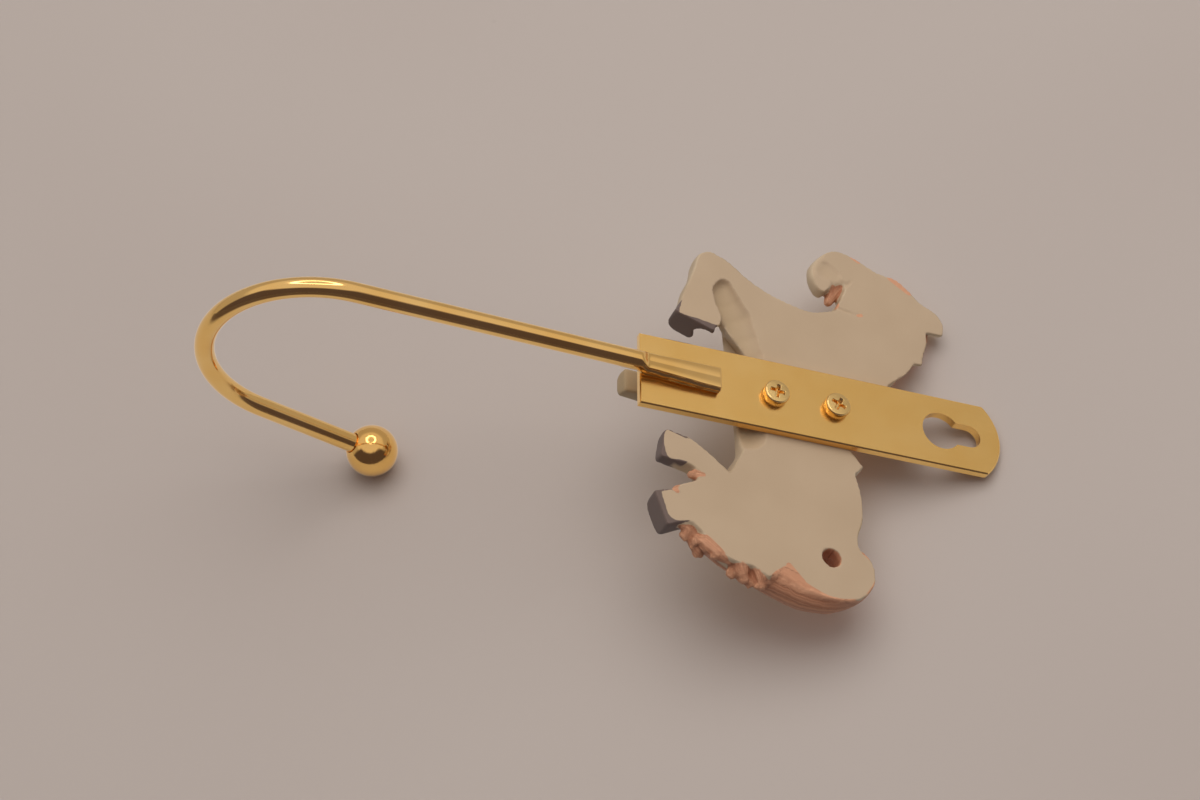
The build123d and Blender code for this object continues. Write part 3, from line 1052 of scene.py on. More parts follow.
@dataclass
class Pony:
    """The cast pony. Its forms are joined in a distance field, as a modeller builds up clay on a flat board.

    A form's points are across, up and in front of the flat back, then the radius, all in millimetres.
    """

    grid: float = 0.42
    field_low: Point3 = (-55.5, -82.0, -1.2)
    field_high: Point3 = (52.5, 6.0, 20.0)
    plate_thick: float = 2.2
    slab: float = 4.6
    slab_round: float = 2.2
    body_blend: float = 3.2
    leg_blend: float = 2.0
    tail_blend: float = 1.6
    hair_blend: float = 0.7
    hoof_blend: float = 0.5
    scoop_blend: float = 2.2
    notch_blend: float = 0.4
    lip: float = 0.5
    # How far round a form the field is worked.
    body_margin: float = 7.0
    limb_margin: float = 5.0
    tail_margin: float = 4.0
    hoof_margin: float = 4.0
    lock_margin: float = 3.0
    mask_blend: float = 0.1
    lock_mask_blend: float = 0.2
    tail_mask_blend: float = 0.3
    # How far a form may stand over the outline: at the back, for each mm of depth, and past the free depth.
    rim_spare: float = 0.25
    rim_draft: float = 0.12
    free_depth: float = 6.5
    free_draft: float = 2.5
    # The belly behind the raised foreleg, and the nape's corner.
    tucks: tuple[Tuck, ...] = (
        Tuck((6, -70, -5), (20.5, -47, 6.5), 0.2, 0.42),
        Tuck((13, -9.5, -5), (25, -2.3, 7), 0.3, 0.6),
    )
    # The ear's thin lower edge slopes straight up from the flat.
    ear_box: tuple[Point3, Point3] = ((28, -0.3, -5), (37, 5, 9))
    ear_edge: float = 30.9
    ear_rim: float = 0.5
    ear_slope: float = 0.66
    hoof_round: float = 0.6
    hoof_band: float = 0.6
    # The standing foreleg's back lies in front of the flat back.
    stand_low: Point3 = (-6, -90, -5)
    stand_high: Point2 = (16, -58)
    stand_back: float = 9.8
    tail_hole: Point3 = (-41.1, -30.7, 2.4)
    table_slope: float = 0.4326
    table_edge: float = 16.2
    table_gap: float = 0.1
    # Strands on the tail: their places round it in degrees, their waves and their sizes.
    strand_turns: tuple[float, ...] = (-14, 6, 26, 46, 66, 88, 110, 134, 158, 184)
    strand_wave: float = 0.13
    strand_waves: float = 9.5
    strand_shift: float = 1.9
    strand_inset: float = 0.9
    strand_size: float = 0.95
    strand_extra: float = 0.25
    strand_least: float = 0.4
    strand_steps: int = 3
    outline_steps: int = 6
    # Curls on the fringe: their seed, how many each clump point carries, and the spans of their random draws.
    frill_seed: int = 11
    frills_each: int = 4
    frill_turn: Point2 = (0.45, 1.55)
    frill_tilt: Point2 = (-0.6, 0.9)
    frill_reach: Point2 = (0.75, 1.0)
    frill_bend: Point2 = (-1.4, 1.4)
    frill_size: Point2 = (0.45, 0.7)
    frill_length: float = 0.9
    frill_tip: float = 0.4
    # The flat back's edge, in stretches that meet in corners: from the raised knee up the chest, round the
    # head and along the back, round the tail, and back along the hind legs, the belly and the raised hoof.
    outline: list[Span] = field(default_factory=lambda: [
        [(41, -59.5), (38.8, -54.7), (35, -50), (31.8, -44), (29.6, -36.5), (29.2, -32), (31.4, -25.5)],
        [(31.4, -25.5), (35.2, -24.2), (38.6, -22.7), (41, -22.8)],
        [(41, -22.8), (39.6, -25.8), (36.4, -28.8)],
        [(36.4, -28.8), (38, -30.9), (43, -31.6), (47.4, -29.3), (50.2, -25), (49.2, -19.6)],
        [(49.2, -19.6), (46.2, -13.5), (45.6, -8.5), (42.6, -4.8), (39.6, -2.2)],
        [(39.6, -2.2), (38.2, 1.6), (35, 4.2), (30.8, 4)],
        [(31, 0.2), (25.5, -1.6), (20.2, -2.6)],
        [(20.2, -4.8), (16.4, -7.4), (12.2, -12.1), (4, -19), (-4, -24), (-9.7, -24.4), (-14, -20.8)],
        [(-16.4, -23.6), (-22.7, -22.1), (-29, -22.2), (-34.2, -23.8), (-37.3, -23.4)],
        [(-37.3, -23.4), (-40.3, -20.2), (-46, -19.8), (-51, -24), (-52.2, -31), (-49.7, -37.7), (-46.2, -42.6)],
        [(-49.6, -46.8), (-47.4, -51), (-46.6, -56.4), (-42.6, -61.4), (-38.6, -65.8)],
        [(-38.6, -66.6), (-39.2, -69.7), (-38.2, -71.7), (-35.6, -72.6), (-32, -73.7)],
        [(-30.4, -69.7), (-28.4, -67.4), (-26.9, -64.4), (-25.4, -63.4), (-23.4, -64.8), (-22.6, -67)],
        [(-22.5, -68.7), (-22.4, -71.6), (-19.2, -72.7), (-15.9, -72.6), (-14.3, -71.7)],
        [(-15.6, -66.6), (-18.4, -62.2), (-23.4, -56)],
        [(-23.4, -56), (-19.5, -53.8), (-14, -52), (0, -53), (9.6, -50.6), (14, -51.8), (17.4, -54.4),
         (19.6, -56), (21.2, -56.6)],
        [(18.7, -57.7), (18.9, -60.2), (19.4, -63), (19.6, -65.6), (20.1, -68.5)],
        [(20.1, -68.5), (22.4, -68), (24.7, -67.4), (33.9, -64.1), (39.4, -62.4), (41, -59.5)],
    ])
    # Barrel, shoulder, neck and head, each a chain of points.
    body: list[list[tuple]] = field(default_factory=lambda: [
        [(14, -39, 0, 15.2), (-8, -38.4, 0, 14.6), (-28, -38, 0, 14.6)],
        [(18, -43, 2, 11.6), (17, -35, 1, 11)],
        [(17, -35, 0, 12), (22, -24, 0, 10.4), (28, -11.4, 0, 8.4)],
        [(-28, -36, 5, 9.6), (-28.6, -46, 4.4, 9.2)],
        [(20, -38, 6, 6.6), (24, -48, 4.6, 6.2)],
        [(25.6, -30, 5, 4.6), (32.6, -13, 4, 4.2)],
        [(31, -8, 1.4, 6.4), (36.2, -8.6, 2.4, 6.6), (40, -15.4, 2.8, 6), (43.4, -23.6, 2.4, 4.9)],
    ])
    # Cheek, muzzle, chin, nose and ear.
    face_forms: list[list[tuple]] = field(default_factory=lambda: [
        [(36.4, -14.6, 4.4, 4.8), (37.2, -18.4, 3.8, 4.2)],
        [(44.6, -25.6, 2.6, 5.1), (45.4, -24, 2.4, 5)],
        [(41.6, -29, 1.8, 2.6), (43.6, -29.2, 1.8, 2.5)],
        [(43.6, -10.4, 5, 1.5), (46, -20, 3.6, 1.3)],
        [(36.4, -2.4, 3.4, 2.9), (35, 1, 3.2, 2.2), (32.8, 3.1, 2.6, 1.2)],
    ])
    # Small features, carved in or laid on, each with its seam.
    features: tuple[tuple[bool, Limb, float], ...] = (
        # The eye's socket, the eye and its two lids.
        (True, Limb((40.6, -10.9, 9.6), (41.4, -11.5, 9.3), 1.9, 1.7), 0.8),
        (False, Limb((40.9, -11.2, 8.0), (40.9, -11.2, 8.01), 1.45, 1.45), 0.25),
        (False, Limb((39.3, -10.2, 8.4), (41, -9.3, 8.4), 0.6, 0.65), 0.5),
        (False, Limb((41, -9.3, 8.4), (42.7, -10.6, 8), 0.65, 0.5), 0.5),
        # The nostril, the mouth in two stretches, and the ear's hollow.
        (True, Limb((47, -23.2, 6.9), (48, -24.2, 6), 0.75, 0.65), 0.5),
        (True, Limb((49.4, -27.6, 3.6), (45.6, -27.6, 7), 0.5, 0.5), 0.4),
        (True, Limb((45.6, -27.6, 7), (43, -26.6, 6.9), 0.5, 0.35), 0.4),
        (True, Limb((36, -2, 6.9), (33.6, 1.6, 5.2), 1.2, 0.6), 0.5),
    )
    # The raised foreleg, the two hind legs and the standing foreleg, from the top down.
    legs: list[list[tuple]] = field(default_factory=lambda: [
        [(25, -46, 2, 8), (31, -53, 1.6, 5.9), (35.6, -57.6, 1.8, 4.8)],
        [(35.6, -57.4, 2.6, 4.9), (36.2, -59, 2.2, 4.6)],
        [(34.6, -60, 1.8, 4), (28.6, -61.6, 1.6, 3.5), (25.6, -62.4, 1.6, 3.7)],
        [(26.2, -62.4, 1.8, 4.2), (24.4, -62.8, 1.8, 4.1)],
        [(-24, -47, 1, 10), (-23.6, -55, 1.4, 6), (-23, -60, 1.6, 4.5)],
        [(-22.6, -59.4, 1.8, 4.5), (-20.6, -64.4, 1.3, 3.4), (-19.8, -66.6, 1.3, 3.7)],
        [(-32, -47, 1, 11), (-33.4, -55.6, 1.6, 6.6), (-34.2, -60.4, 2, 5)],
        [(-34.2, -60, 2.4, 4.9), (-33.8, -64.4, 2, 4), (-33.6, -66, 2, 4.3)],
        [(6.4, -46, 8.6, 7.6), (5.4, -57, 11, 5), (4.9, -64, 12.2, 4.1)],
        [(4.8, -64.4, 12.5, 4.1), (4.4, -70.6, 12.3, 3.1), (4.2, -72.2, 12.1, 3.4)],
    ])
    # Each hoof's top and sole, and its radius at both.
    hooves: list[tuple] = field(default_factory=lambda: [
        ((24.6, -62, 2), (18.9, -64.1, 2.5), 4.2, 5.7),
        ((-19.4, -67.2, 0.8), (-18.5, -73, 0.5), 3.4, 3.9),
        ((-33.9, -66.8, 2.1), (-36.4, -73.6, 2.1), 4.1, 4.8),
        ((4.3, -73, 11.8), (4.3, -78.9, 10.4), 3, 3.3),
    ])
    # The two round bites that leave the raised hoof its lobes.
    hoof_notches: tuple[Limb, ...] = (
        Limb((14, -60.2, 4.3), (21.5, -60.2, 4.3), 2.9, 2.4),
        Limb((14, -58.2, 8.2), (21.5, -58.2, 8.2), 4.5, 4.1),
    )
    # The hollow scooped out of the back: the long trough, and the channel up the foreleg.
    scoops: list[list[tuple]] = field(default_factory=lambda: [
        [(31.4, -56, 0, 1.9), (27, -54.6, -0.9, 3.1), (22.8, -52.8, -2, 4.2), (17, -52, -3.5, 5.7),
         (12, -51.2, -4.6, 6.8), (-10.6, -51.2, -4.6, 6.8)],
        [(29.4, -57.5, 0, 1.6), (26, -56.4, 0, 1.9), (22.4, -54.6, 0, 1.9), (18, -54.6, 0, 2), (13.8, -53.4, 0, 2.3)],
    ])
    # The dip in the muzzle's back and two creases by the jaw, each with its seam.
    creases: list[tuple[list[tuple], float]] = field(default_factory=lambda: [
        ([(43.6, -28, -6.4, 7.1), (42.6, -26, -6.4, 6.9)], 2),
        ([(42.4, -20.6, 0, 0.35), (40, -22.4, 0, 0.5)], 0.3),
        ([(32.2, -25, 0, 0.5), (31.4, -19, 0, 0.35)], 0.3),
    ])
    # Mane locks from the poll down, the crest's long lock and the forelock.
    mane: list[list[tuple]] = field(default_factory=lambda: [
        [(36.4, -3, 3.8, 2), (31, -1.4, 3.8, 2.6), (27, -2.8, 4, 2.3), (25, -4, 3.6, 1.6), (23.4, -4.4, 3, 0.9)],
        [(35, -6, 5.8, 2.1), (30, -5, 6, 2.6), (24.5, -6.4, 6, 2.4), (20, -9, 5.3, 1.9), (16.8, -9.2, 4.4, 1.1)],
        [(33, -10, 7.8, 2.2), (28, -9.6, 7.9, 2.7), (22.5, -11.8, 7.6, 2.6), (17.6, -14.6, 6.6, 2),
         (13.4, -14.4, 5, 1.1)],
        [(31, -14.5, 8.8, 2.2), (26, -14.7, 9.4, 2.8), (20.3, -17.4, 9, 2.6), (15, -20, 7.8, 2.1),
         (10.4, -19.4, 6, 1.1)],
        [(29, -19, 9.6, 2.2), (24, -19.8, 10.6, 2.9), (17.6, -22.8, 10.2, 2.6), (11.4, -24.8, 9, 2.1),
         (6.2, -23.6, 7, 1.1)],
        [(27.4, -24, 10.2, 2.1), (21.8, -25.2, 11.6, 2.9), (15, -28.2, 11.6, 2.6), (8.4, -29.4, 11, 2.1),
         (3, -27.6, 10, 1.1)],
        [(25, -29, 10.8, 1.9), (19, -30.8, 12.4, 2.7), (12.2, -33.2, 13, 2.4), (5.6, -33.4, 13, 1.9),
         (0.4, -31, 12.6, 1)],
        [(9, -21.6, 4, 2.4), (1, -25.4, 5, 2.8), (-6, -26, 5, 2.2), (-11.4, -23.4, 4, 1.5), (-13.6, -21.4, 2.6, 0.9)],
        [(37.6, -3.2, 4.6, 2.1), (41.2, -5.4, 5, 2), (44, -8.8, 5, 1.6), (44.8, -12.6, 5.2, 0.8)],
    ])
    # The tail's middle, from its root over the arch and down.
    tail_path: list[tuple] = field(default_factory=lambda: [
        (-35.4, -29.4, 4.2, 3.4), (-40, -25.4, 4.2, 4.2), (-45, -25, 4.2, 4.6), (-48.2, -30.4, 4.2, 4.9),
        (-48.3, -37, 4.2, 4.9), (-46.6, -43.6, 4.4, 4.4), (-45, -50, 4.6, 3.5), (-43, -56, 4.6, 3),
        (-40.6, -61, 4.4, 2.4), (-38.8, -64.2, 4, 1.6),
    ])
    # The fringe of torn hair ends beside the hind leg.
    clumps: list[list[tuple]] = field(default_factory=lambda: [
        [(-45.6, -57.4, 1.5, 1.1), (-44.4, -59.4, 1.8, 2), (-42.6, -61.8, 1.8, 1.9), (-42, -64, 1.6, 1)],
        [(-44, -63.4, 3.4, 1), (-42.6, -65.2, 3, 0.7), (-41.4, -66.8, 2.4, 0.4)],
        [(-46.2, -53.6, 1.8, 1.6), (-48, -52.9, 2.2, 1.6), (-49.6, -52, 2.4, 0.8)],
        [(-47.4, -54.6, 3.2, 1), (-48.8, -54.8, 3, 0.6)],
        [(-47.4, -49.2, 1.8, 1.5), (-49, -48.4, 2.1, 1.5), (-50.6, -48.1, 2.3, 0.8)],
        [(-48.4, -50.2, 3.6, 0.9), (-50, -50.6, 3.2, 0.6)],
        [(-39.6, -63.4, 2.6, 1.4), (-39.8, -65.4, 2.2, 1.2), (-39.2, -67, 1.8, 0.7)],
    ])
    # Tufts between the hind legs, at a hoof and under the jaw.
    tufts: list[list[tuple]] = field(default_factory=lambda: [
        [(-25.2, -65.5, 1.2, 1), (-24.9, -63.8, 1.3, 1.1)],
        [(-30, -69.6, 0.9, 0.7), (-29.4, -68.6, 1.2, 0.7)],
        [(43.6, -21.6, 2.6, 1.4), (41, -23.4, 2.8, 1.7), (38.4, -25.2, 2.8, 1.7), (35.6, -26.6, 2.6, 1.2)],
    ])
    def tail_strands(self) -> list[list[tuple]]:
        """Strands laid over the tail's middle, waving as they fall.

        Returns:
            One list of points for each strand.
        """
        path = np.array(self.tail_path)
        smooth = curve_points([tuple(p[:2]) for p in path], self.strand_steps)
        share = np.linspace(0, 1, len(smooth))
        depth, radius = (np.interp(share, np.linspace(0, 1, len(path)), path[:, i]) for i in (2, 3))
        ways = np.gradient(smooth, axis=0)
        ways /= np.linalg.norm(ways, axis=1)[:, None]
        normal = np.column_stack([-ways[:, 1], ways[:, 0]])
        strands = []
        for index, turn in enumerate(np.radians(self.strand_turns)):
            wave = self.strand_wave * np.sin(share * self.strand_waves + index * self.strand_shift)
            reach = radius - self.strand_inset
            lateral = -reach * np.cos(turn + wave)
            out = depth + reach * np.sin(turn + wave)
            swell = np.sin(np.pi * np.clip(0.12 + share * 0.86, 0, 1)) ** 0.6
            thick = (self.strand_size + self.strand_extra * (index % 3 == 1)) * swell
            strands.append([
                (*(smooth[i] + normal[i] * lateral[i]), out[i], max(thick[i], self.strand_least))
                for i in range(len(smooth))
            ])
        return strands

    def frills(self) -> list[list[tuple]]:
        """Small curled ends scattered over the fringe's clumps, the same in every run."""
        chance = np.random.default_rng(self.frill_seed)
        curls = []
        for x, z, depth, size in (point for clump in self.clumps for point in clump):
            for _ in range(self.frills_each):
                way = chance.uniform(*self.frill_turn) * math.pi
                tilt = chance.uniform(*self.frill_tilt)
                reach = size * chance.uniform(*self.frill_reach)
                flat = reach * math.cos(tilt)
                start = (x + flat * math.cos(way), z + flat * math.sin(way), depth + reach * math.sin(tilt))
                bend = way + chance.uniform(*self.frill_bend)
                small = chance.uniform(*self.frill_size)
                end_x = start[0] + self.frill_length * math.cos(bend)
                end_z = start[1] + self.frill_length * math.sin(bend)
                curls.append([(*start, small), (end_x, end_z, start[2], self.frill_tip)])
        return curls

    @staticmethod
    def limbs(chain: Sequence[tuple]) -> list[Limb]:
        """The limbs along a chain of points."""
        return [Limb(a[:3], b[:3], a[3], b[3]) for a, b in zip(chain, chain[1:])]

    def back_distance(self, relief: ReliefField) -> np.ndarray:
        """Distance to the flat back's rounded outline on the field's own grid, negative inside."""
        rounded = np.vstack([curve_points(span, self.outline_steps) for span in self.outline])
        return outline_distance(rounded, relief.axes[0], relief.axes[1])[:, :, None]

    def model(self) -> tuple[ReliefField, dict[str, np.ndarray]]:
        """Build the pony up, form by form.

        Returns:
            The finished field, and the distances to the hair, the hooves, the hollows and the outline.
        """
        relief = ReliefField(self.field_low, self.field_high, self.grid)
        parts = {name: ReliefField(relief.low, relief.high, self.grid) for name in ("hair", "hoof", "hollow")}
        outline = self.back_distance(relief)
        relief.value = self.slab_distance(relief, outline)
        for chain in self.body:
            relief.blend_in(*relief.chain(self.limbs(chain), self.body_margin), self.body_blend)
        for chain in self.face_forms + self.legs:
            relief.blend_in(*relief.chain(self.limbs(chain), self.limb_margin), self.leg_blend)
        self.trim_rim(relief, outline)
        for carved, limb, blend in self.features:
            (relief.carve_limb if carved else relief.add_limb)(limb, blend)
        self.add_hooves(relief, parts["hoof"])
        self.add_hair(relief, parts["hair"])
        self.cut_back(relief, parts["hollow"])
        paints = {name: part.value for name, part in parts.items()}
        paints["outline"] = np.broadcast_to(outline, relief.value.shape)
        return relief, paints

    def slab_distance(self, relief: ReliefField, outline: np.ndarray) -> np.ndarray:
        """Distance to the slab behind the forms, with its front edge rounded."""
        flat = outline + self.slab_round
        front = (relief.axes[2] - self.slab + self.slab_round).astype(np.float32)[None, None, :]
        slab = np.sqrt(np.maximum(flat, 0) ** 2 + np.maximum(front, 0) ** 2) - self.slab_round
        return (slab + np.minimum(np.maximum(flat, front), 0)).astype(np.float32)

    def trim_rim(self, relief: ReliefField, outline: np.ndarray) -> None:
        """Trim the forms to the flat back's outline, more closely near the back, and tuck its thin edges.

        Args:
            relief: the field with the body's forms.
            outline: the distance to the flat back's outline.
        """
        depth = relief.axes[2].astype(np.float32)
        spare = self.rim_spare + self.rim_draft * np.maximum(depth, 0)
        spare = spare + self.free_draft * np.maximum(depth - self.free_depth, 0)
        relief.value = np.maximum(relief.value, outline - spare[None, None, :])
        for tuck in self.tucks:
            box = relief.window(tuck.low, tuck.high, 0)
            wall = outline[box[0], box[1]] - tuck.over + tuck.slope * depth[box[2]][None, None, :]
            relief.value[box] = np.maximum(relief.value[box], wall)
        ear = relief.window(*self.ear_box, 0)
        rise = self.ear_slope * np.maximum(depth[ear[2]] - self.ear_rim, 0)[None, None, :]
        under = self.ear_edge + rise - relief.axes[0][ear[0]][:, None, None]
        relief.value[ear] = np.maximum(relief.value[ear], under.astype(np.float32))

    def add_hooves(self, relief: ReliefField, hoof: ReliefField) -> None:
        """Add the flared, squared hooves with flat soles, and bite the raised one's notch."""
        for top, sole, r_top, r_sole in self.hooves:
            limb = Limb(top, sole, r_top, r_sole)
            cut = relief.around([limb], self.hoof_margin)
            x, z, d = (axis[c].astype(np.float32) for axis, c in zip(relief.axes, cut))
            a, b = np.array(top), np.array(sole)
            run = float(np.linalg.norm(b - a))
            way = (b - a) / run
            px, pz, pd = x[:, None, None] - a[0], z[None, :, None] - a[1], d[None, None, :] - a[2]
            along = px * way[0] + pz * way[1] + pd * way[2]
            side = np.abs(px * way[1] - pz * way[0])
            off2 = np.maximum(px**2 + pz**2 + pd**2 - along**2, 0)
            off = (side**4 + np.maximum(off2 - side**2, 0) ** 2) ** 0.25
            share = np.clip(along / run, 0, 1)
            wall = off - (r_top + (r_sole - r_top) * share) + self.hoof_round
            ends = np.maximum(along - run, -along - self.hoof_band) + self.hoof_round
            shape = np.sqrt(np.maximum(wall, 0) ** 2 + np.maximum(ends, 0) ** 2) - self.hoof_round
            shape = (shape + np.minimum(np.maximum(wall, ends), 0)).astype(np.float32)
            relief.blend_in(cut, shape, self.hoof_blend)
            hoof.blend_in(cut, shape, self.mask_blend)
        for notch in self.hoof_notches:
            relief.carve_limb(notch, self.notch_blend)

    def locks(self) -> list[list[tuple]]:
        """Every lock and strand of hair."""
        return self.mane + self.tail_strands() + self.clumps + self.tufts + self.frills()

    def add_hair(self, relief: ReliefField, hair: ReliefField) -> None:
        """Lay the mane's and the tail's locks over the body."""
        tail = self.limbs(self.tail_path)
        for grown, blend in ((relief, self.tail_blend), (hair, self.tail_mask_blend)):
            grown.blend_in(*grown.chain(tail, self.tail_margin), blend)
        for lock in self.locks():
            cut, distance = relief.chain(self.limbs(lock), self.lock_margin)
            relief.blend_in(cut, distance, self.hair_blend)
            hair.blend_in(cut, distance, self.lock_mask_blend)

    def cut_back(self, relief: ReliefField, hollow: ReliefField) -> None:
        """Cut the flat back, the hollows and creases in it, the tail's hole, and what the table would touch."""
        everywhere = (slice(None),) * 3
        scoop = ReliefField(relief.low, relief.high, self.grid)
        for chain in self.scoops:
            scoop.blend_in(*scoop.chain(self.limbs(chain), self.limb_margin), self.scoop_blend)
        relief.carve(everywhere, scoop.value, self.lip)
        hollow.blend_in(everywhere, scoop.value, self.mask_blend)
        for chain, blend in self.creases:
            cut, distance = relief.chain(self.limbs(chain), self.lock_margin)
            relief.carve(cut, distance, blend)
            hollow.blend_in(cut, distance, self.mask_blend)
        x, z, d = (axis.astype(np.float32) for axis in relief.axes)
        around = np.sqrt((x[:, None] - self.tail_hole[0]) ** 2 + (z[None, :] - self.tail_hole[1]) ** 2)
        hole = np.broadcast_to((around - self.tail_hole[2])[:, :, None], relief.value.shape)
        relief.carve(everywhere, hole, self.lip)
        low = relief.window(self.stand_low, (*self.stand_high, self.stand_back), 0)
        back = np.broadcast_to((self.stand_back - d[low[2]])[None, None, :], relief.value[low].shape)
        relief.value[low] = np.maximum(relief.value[low], back)
        above_table = d[None, None, :] - self.table_slope * (self.table_edge - z[None, :, None])
        above_table = above_table * math.cos(math.atan(self.table_slope)) + self.table_gap
        relief.value = np.maximum(relief.value, above_table.astype(np.float32))
        relief.carve(everywhere, np.broadcast_to(d[None, None, :], relief.value.shape), self.lip)

    def build(self) -> None:
        """Model, wrap, paint and place the pony."""
        relief, paints = self.model()
        places, faces = net_of(relief)
        LOG.info("pony: wrapped in %d faces", len(faces))
        on_back = np.abs(places[:, 2]) < 0.25
        places = smoothed(places, faces, on_back, 2)
        row = np.column_stack([places[:, 0], -self.plate_thick - places[:, 2], places[:, 1]])
        corners = np.array(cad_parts["figurine"].bound_box) / MM
        row = np.clip(row, corners.min(axis=0), corners.max(axis=0))
        piece = mesh_object("figurine_cast_pony", row, faces)
        PonyPaint(self).store(piece.data, relief, paints, places)
        piece.data.materials.append(ResinFinish().material())
        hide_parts("figurine")
        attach(piece, "root")
        LOG.info("%s: %d faces", piece.name, len(piece.data.polygons))


@dataclass
class PonyPaint:
    """Where the brush went on the cast pony: hair, hooves, the eye, and what stayed bare."""

    pony: Pony
    # Where each paint ends and where it is whole, in mm, or as a share of how far a face looks backwards.
    hair_paint: Point2 = (0.7, 0.0)
    hoof_paint: Point2 = (0.55, 0.05)
    hair_over_hoof: float = 0.6
    tail_paint: Point2 = (2.3, 1.6)
    tail_across: Point2 = (-37.8, -38.4)
    tail_up: Point2 = (-47.0, -45.5)
    hole_paint: Point2 = (0.45, -0.05)
    hole_depth: Point2 = (0.9, 1.7)
    daub_paint: Point2 = (0.25, -0.25)
    daub_depth: float = 1.2
    eye_place: Point3 = (40.9, -11.2, 8.2)
    eye_paint: Point2 = (1.75, 1.45)
    flat_faces: Point2 = (0.5, 0.8)
    flat_depth: float = 0.9
    flat_edge: Point2 = (0.3, 0.8)
    stand_top: float = -57.0
    stand_span: Point2 = (4.0, 9.0)
    stand_depth: Point2 = (15.2, 14.0)
    stand_faces: Point2 = (-0.75, -0.55)
    hollow_paint: Point2 = (0.32, -0.08)
    hollow_rim: float = 0.4
    # Painted shade on the bare resin: the depths over which the hollows darken, and how strongly there and on the
    # standing hoof.
    hollow_shade_depth: Point2 = (0.0, 2.6)
    hollow_share: float = 0.45
    stand_share: float = 0.6
    # Painted shade in creases and painted highlight on ridges: the sampling step, the level on a flat face, how fast it
    # follows the creases, and the least depth.
    shade_step: float = 0.8
    shade_start: float = 0.45
    shade_gain: float = 2.4
    shade_least_depth: float = 0.6
    comb_reach: float = 1.2
    comb_shift: float = 7.3

    # Paint that ran over the edge onto the flat back: a stretch and how far it reaches.
    painted_edges: list[tuple[Point2, Point2, float]] = field(default_factory=lambda: [
        ((45.8, -9.6), (42.6, -4.8), 1.1), ((32.4, -40.6), (31.2, -36.4), 0.7), ((49.6, -20.4), (48.6, -18.6), 0.6),
        ((31.7, -18.8), (31.4, -19.7), 0.5), ((38.6, -25.6), (33.4, -26), 1.2), ((-30.6, -70.2), (-31.2, -69.4), 0.7),
        ((-25.4, -64.2), (-25.2, -62.8), 0.6), ((-45.4, -41.8), (-49, -38.6), 0.7),
    ])
    hoof_edges: list[tuple[Point2, Point2, float]] = field(default_factory=lambda: [
        ((20.9, -56.3), (19.9, -56.7), 0.5), ((-14.5, -71.3), (-15.8, -67), 0.3),
    ])

    def daubed(self, edges: list[tuple[Point2, Point2, float]], places: np.ndarray) -> np.ndarray:
        """How much paint from over the edge covers each point of the back, from 0 to 1."""
        covered = np.zeros(len(places))
        for start, end, reach in edges:
            way = np.subtract(end, start)
            off = places[:, :2] - np.array(start)
            share = np.clip(off @ way / (way @ way), 0, 1)
            gap = np.linalg.norm(off - share[:, None] * way, axis=1) - reach
            covered = np.maximum(covered, between(gap, *self.daub_paint) * (places[:, 2] < self.daub_depth))
        return covered

    def comb(self, places: np.ndarray, hair: np.ndarray) -> np.ndarray:
        """How far round its nearest lock each point lies, in millimetres, so that hair lines run along the locks.

        Args:
            places: the mesh's points in the field's axes.
            hair: each point's distance to the hair.

        Returns:
            One value for each point, zero away from the hair.
        """
        near = np.flatnonzero(hair < self.comb_reach)
        spots = places[near].astype(np.float32)
        best = np.full(len(near), 1e9, np.float32)
        turn = np.zeros(len(near), np.float32)
        for number, lock in enumerate(self.pony.locks()):
            for limb in self.pony.limbs(lock):
                start = np.array(limb.start, np.float32)
                way = np.array(limb.end, np.float32) - start
                off = spots - start
                share = np.clip(off @ way / max(float(way @ way), 1e-6), 0, 1)
                off = off - share[:, None] * way
                size = limb.start_radius + share * (limb.end_radius - limb.start_radius)
                gap = np.linalg.norm(off, axis=1) - size
                side = (off[:, 0] * -way[1] + off[:, 1] * way[0]) / max(float(np.hypot(way[0], way[1])), 1e-6)
                closer = gap < best
                best[closer] = gap[closer]
                round_it = np.arctan2(side, off[:, 2]) * max(limb.start_radius, 0.8) + self.comb_shift * number
                turn[closer] = round_it[closer]
        out = np.zeros(len(places), np.float32)
        out[near] = turn
        return out

    def store(
        self, mesh: bpy.types.Mesh, relief: ReliefField, paints: dict[str, np.ndarray], places: np.ndarray
    ) -> None:
        """Store where each paint goes.

        Args:
            mesh: the pony's mesh.
            relief: the field it came from.
            paints: the distances to the hair, the hooves, the hollows and the outline.
            places: the mesh's points in the field's axes.
        """
        hair, hoof, hollow, rim = (
            relief.sample(paints[name], places) for name in ("hair", "hoof", "hollow", "outline")
        )
        across, up, depth = places.T
        hole = np.hypot(across - self.pony.tail_hole[0], up - self.pony.tail_hole[1]) - self.pony.tail_hole[2]
        in_hole = between(hole, *self.hole_paint) * between(depth, *self.hole_depth)
        daubs, hoof_daubs = (self.daubed(edges, places) for edges in (self.painted_edges, self.hoof_edges))
        hoof_mask = between(hoof, *self.hoof_paint) * (hair > self.hair_over_hoof) * (1 - daubs)
        hoof_mask = np.maximum(hoof_mask, hoof_daubs)
        on_tail = between(hair, *self.tail_paint) * between(across, *self.tail_across) * between(up, *self.tail_up)
        hair_mask = np.max([between(hair, *self.hair_paint), daubs, on_tail, in_hole], axis=0) * (1 - hoof_mask)
        eye_mask = between(np.linalg.norm(places - np.array(self.eye_place), axis=1), *self.eye_paint)

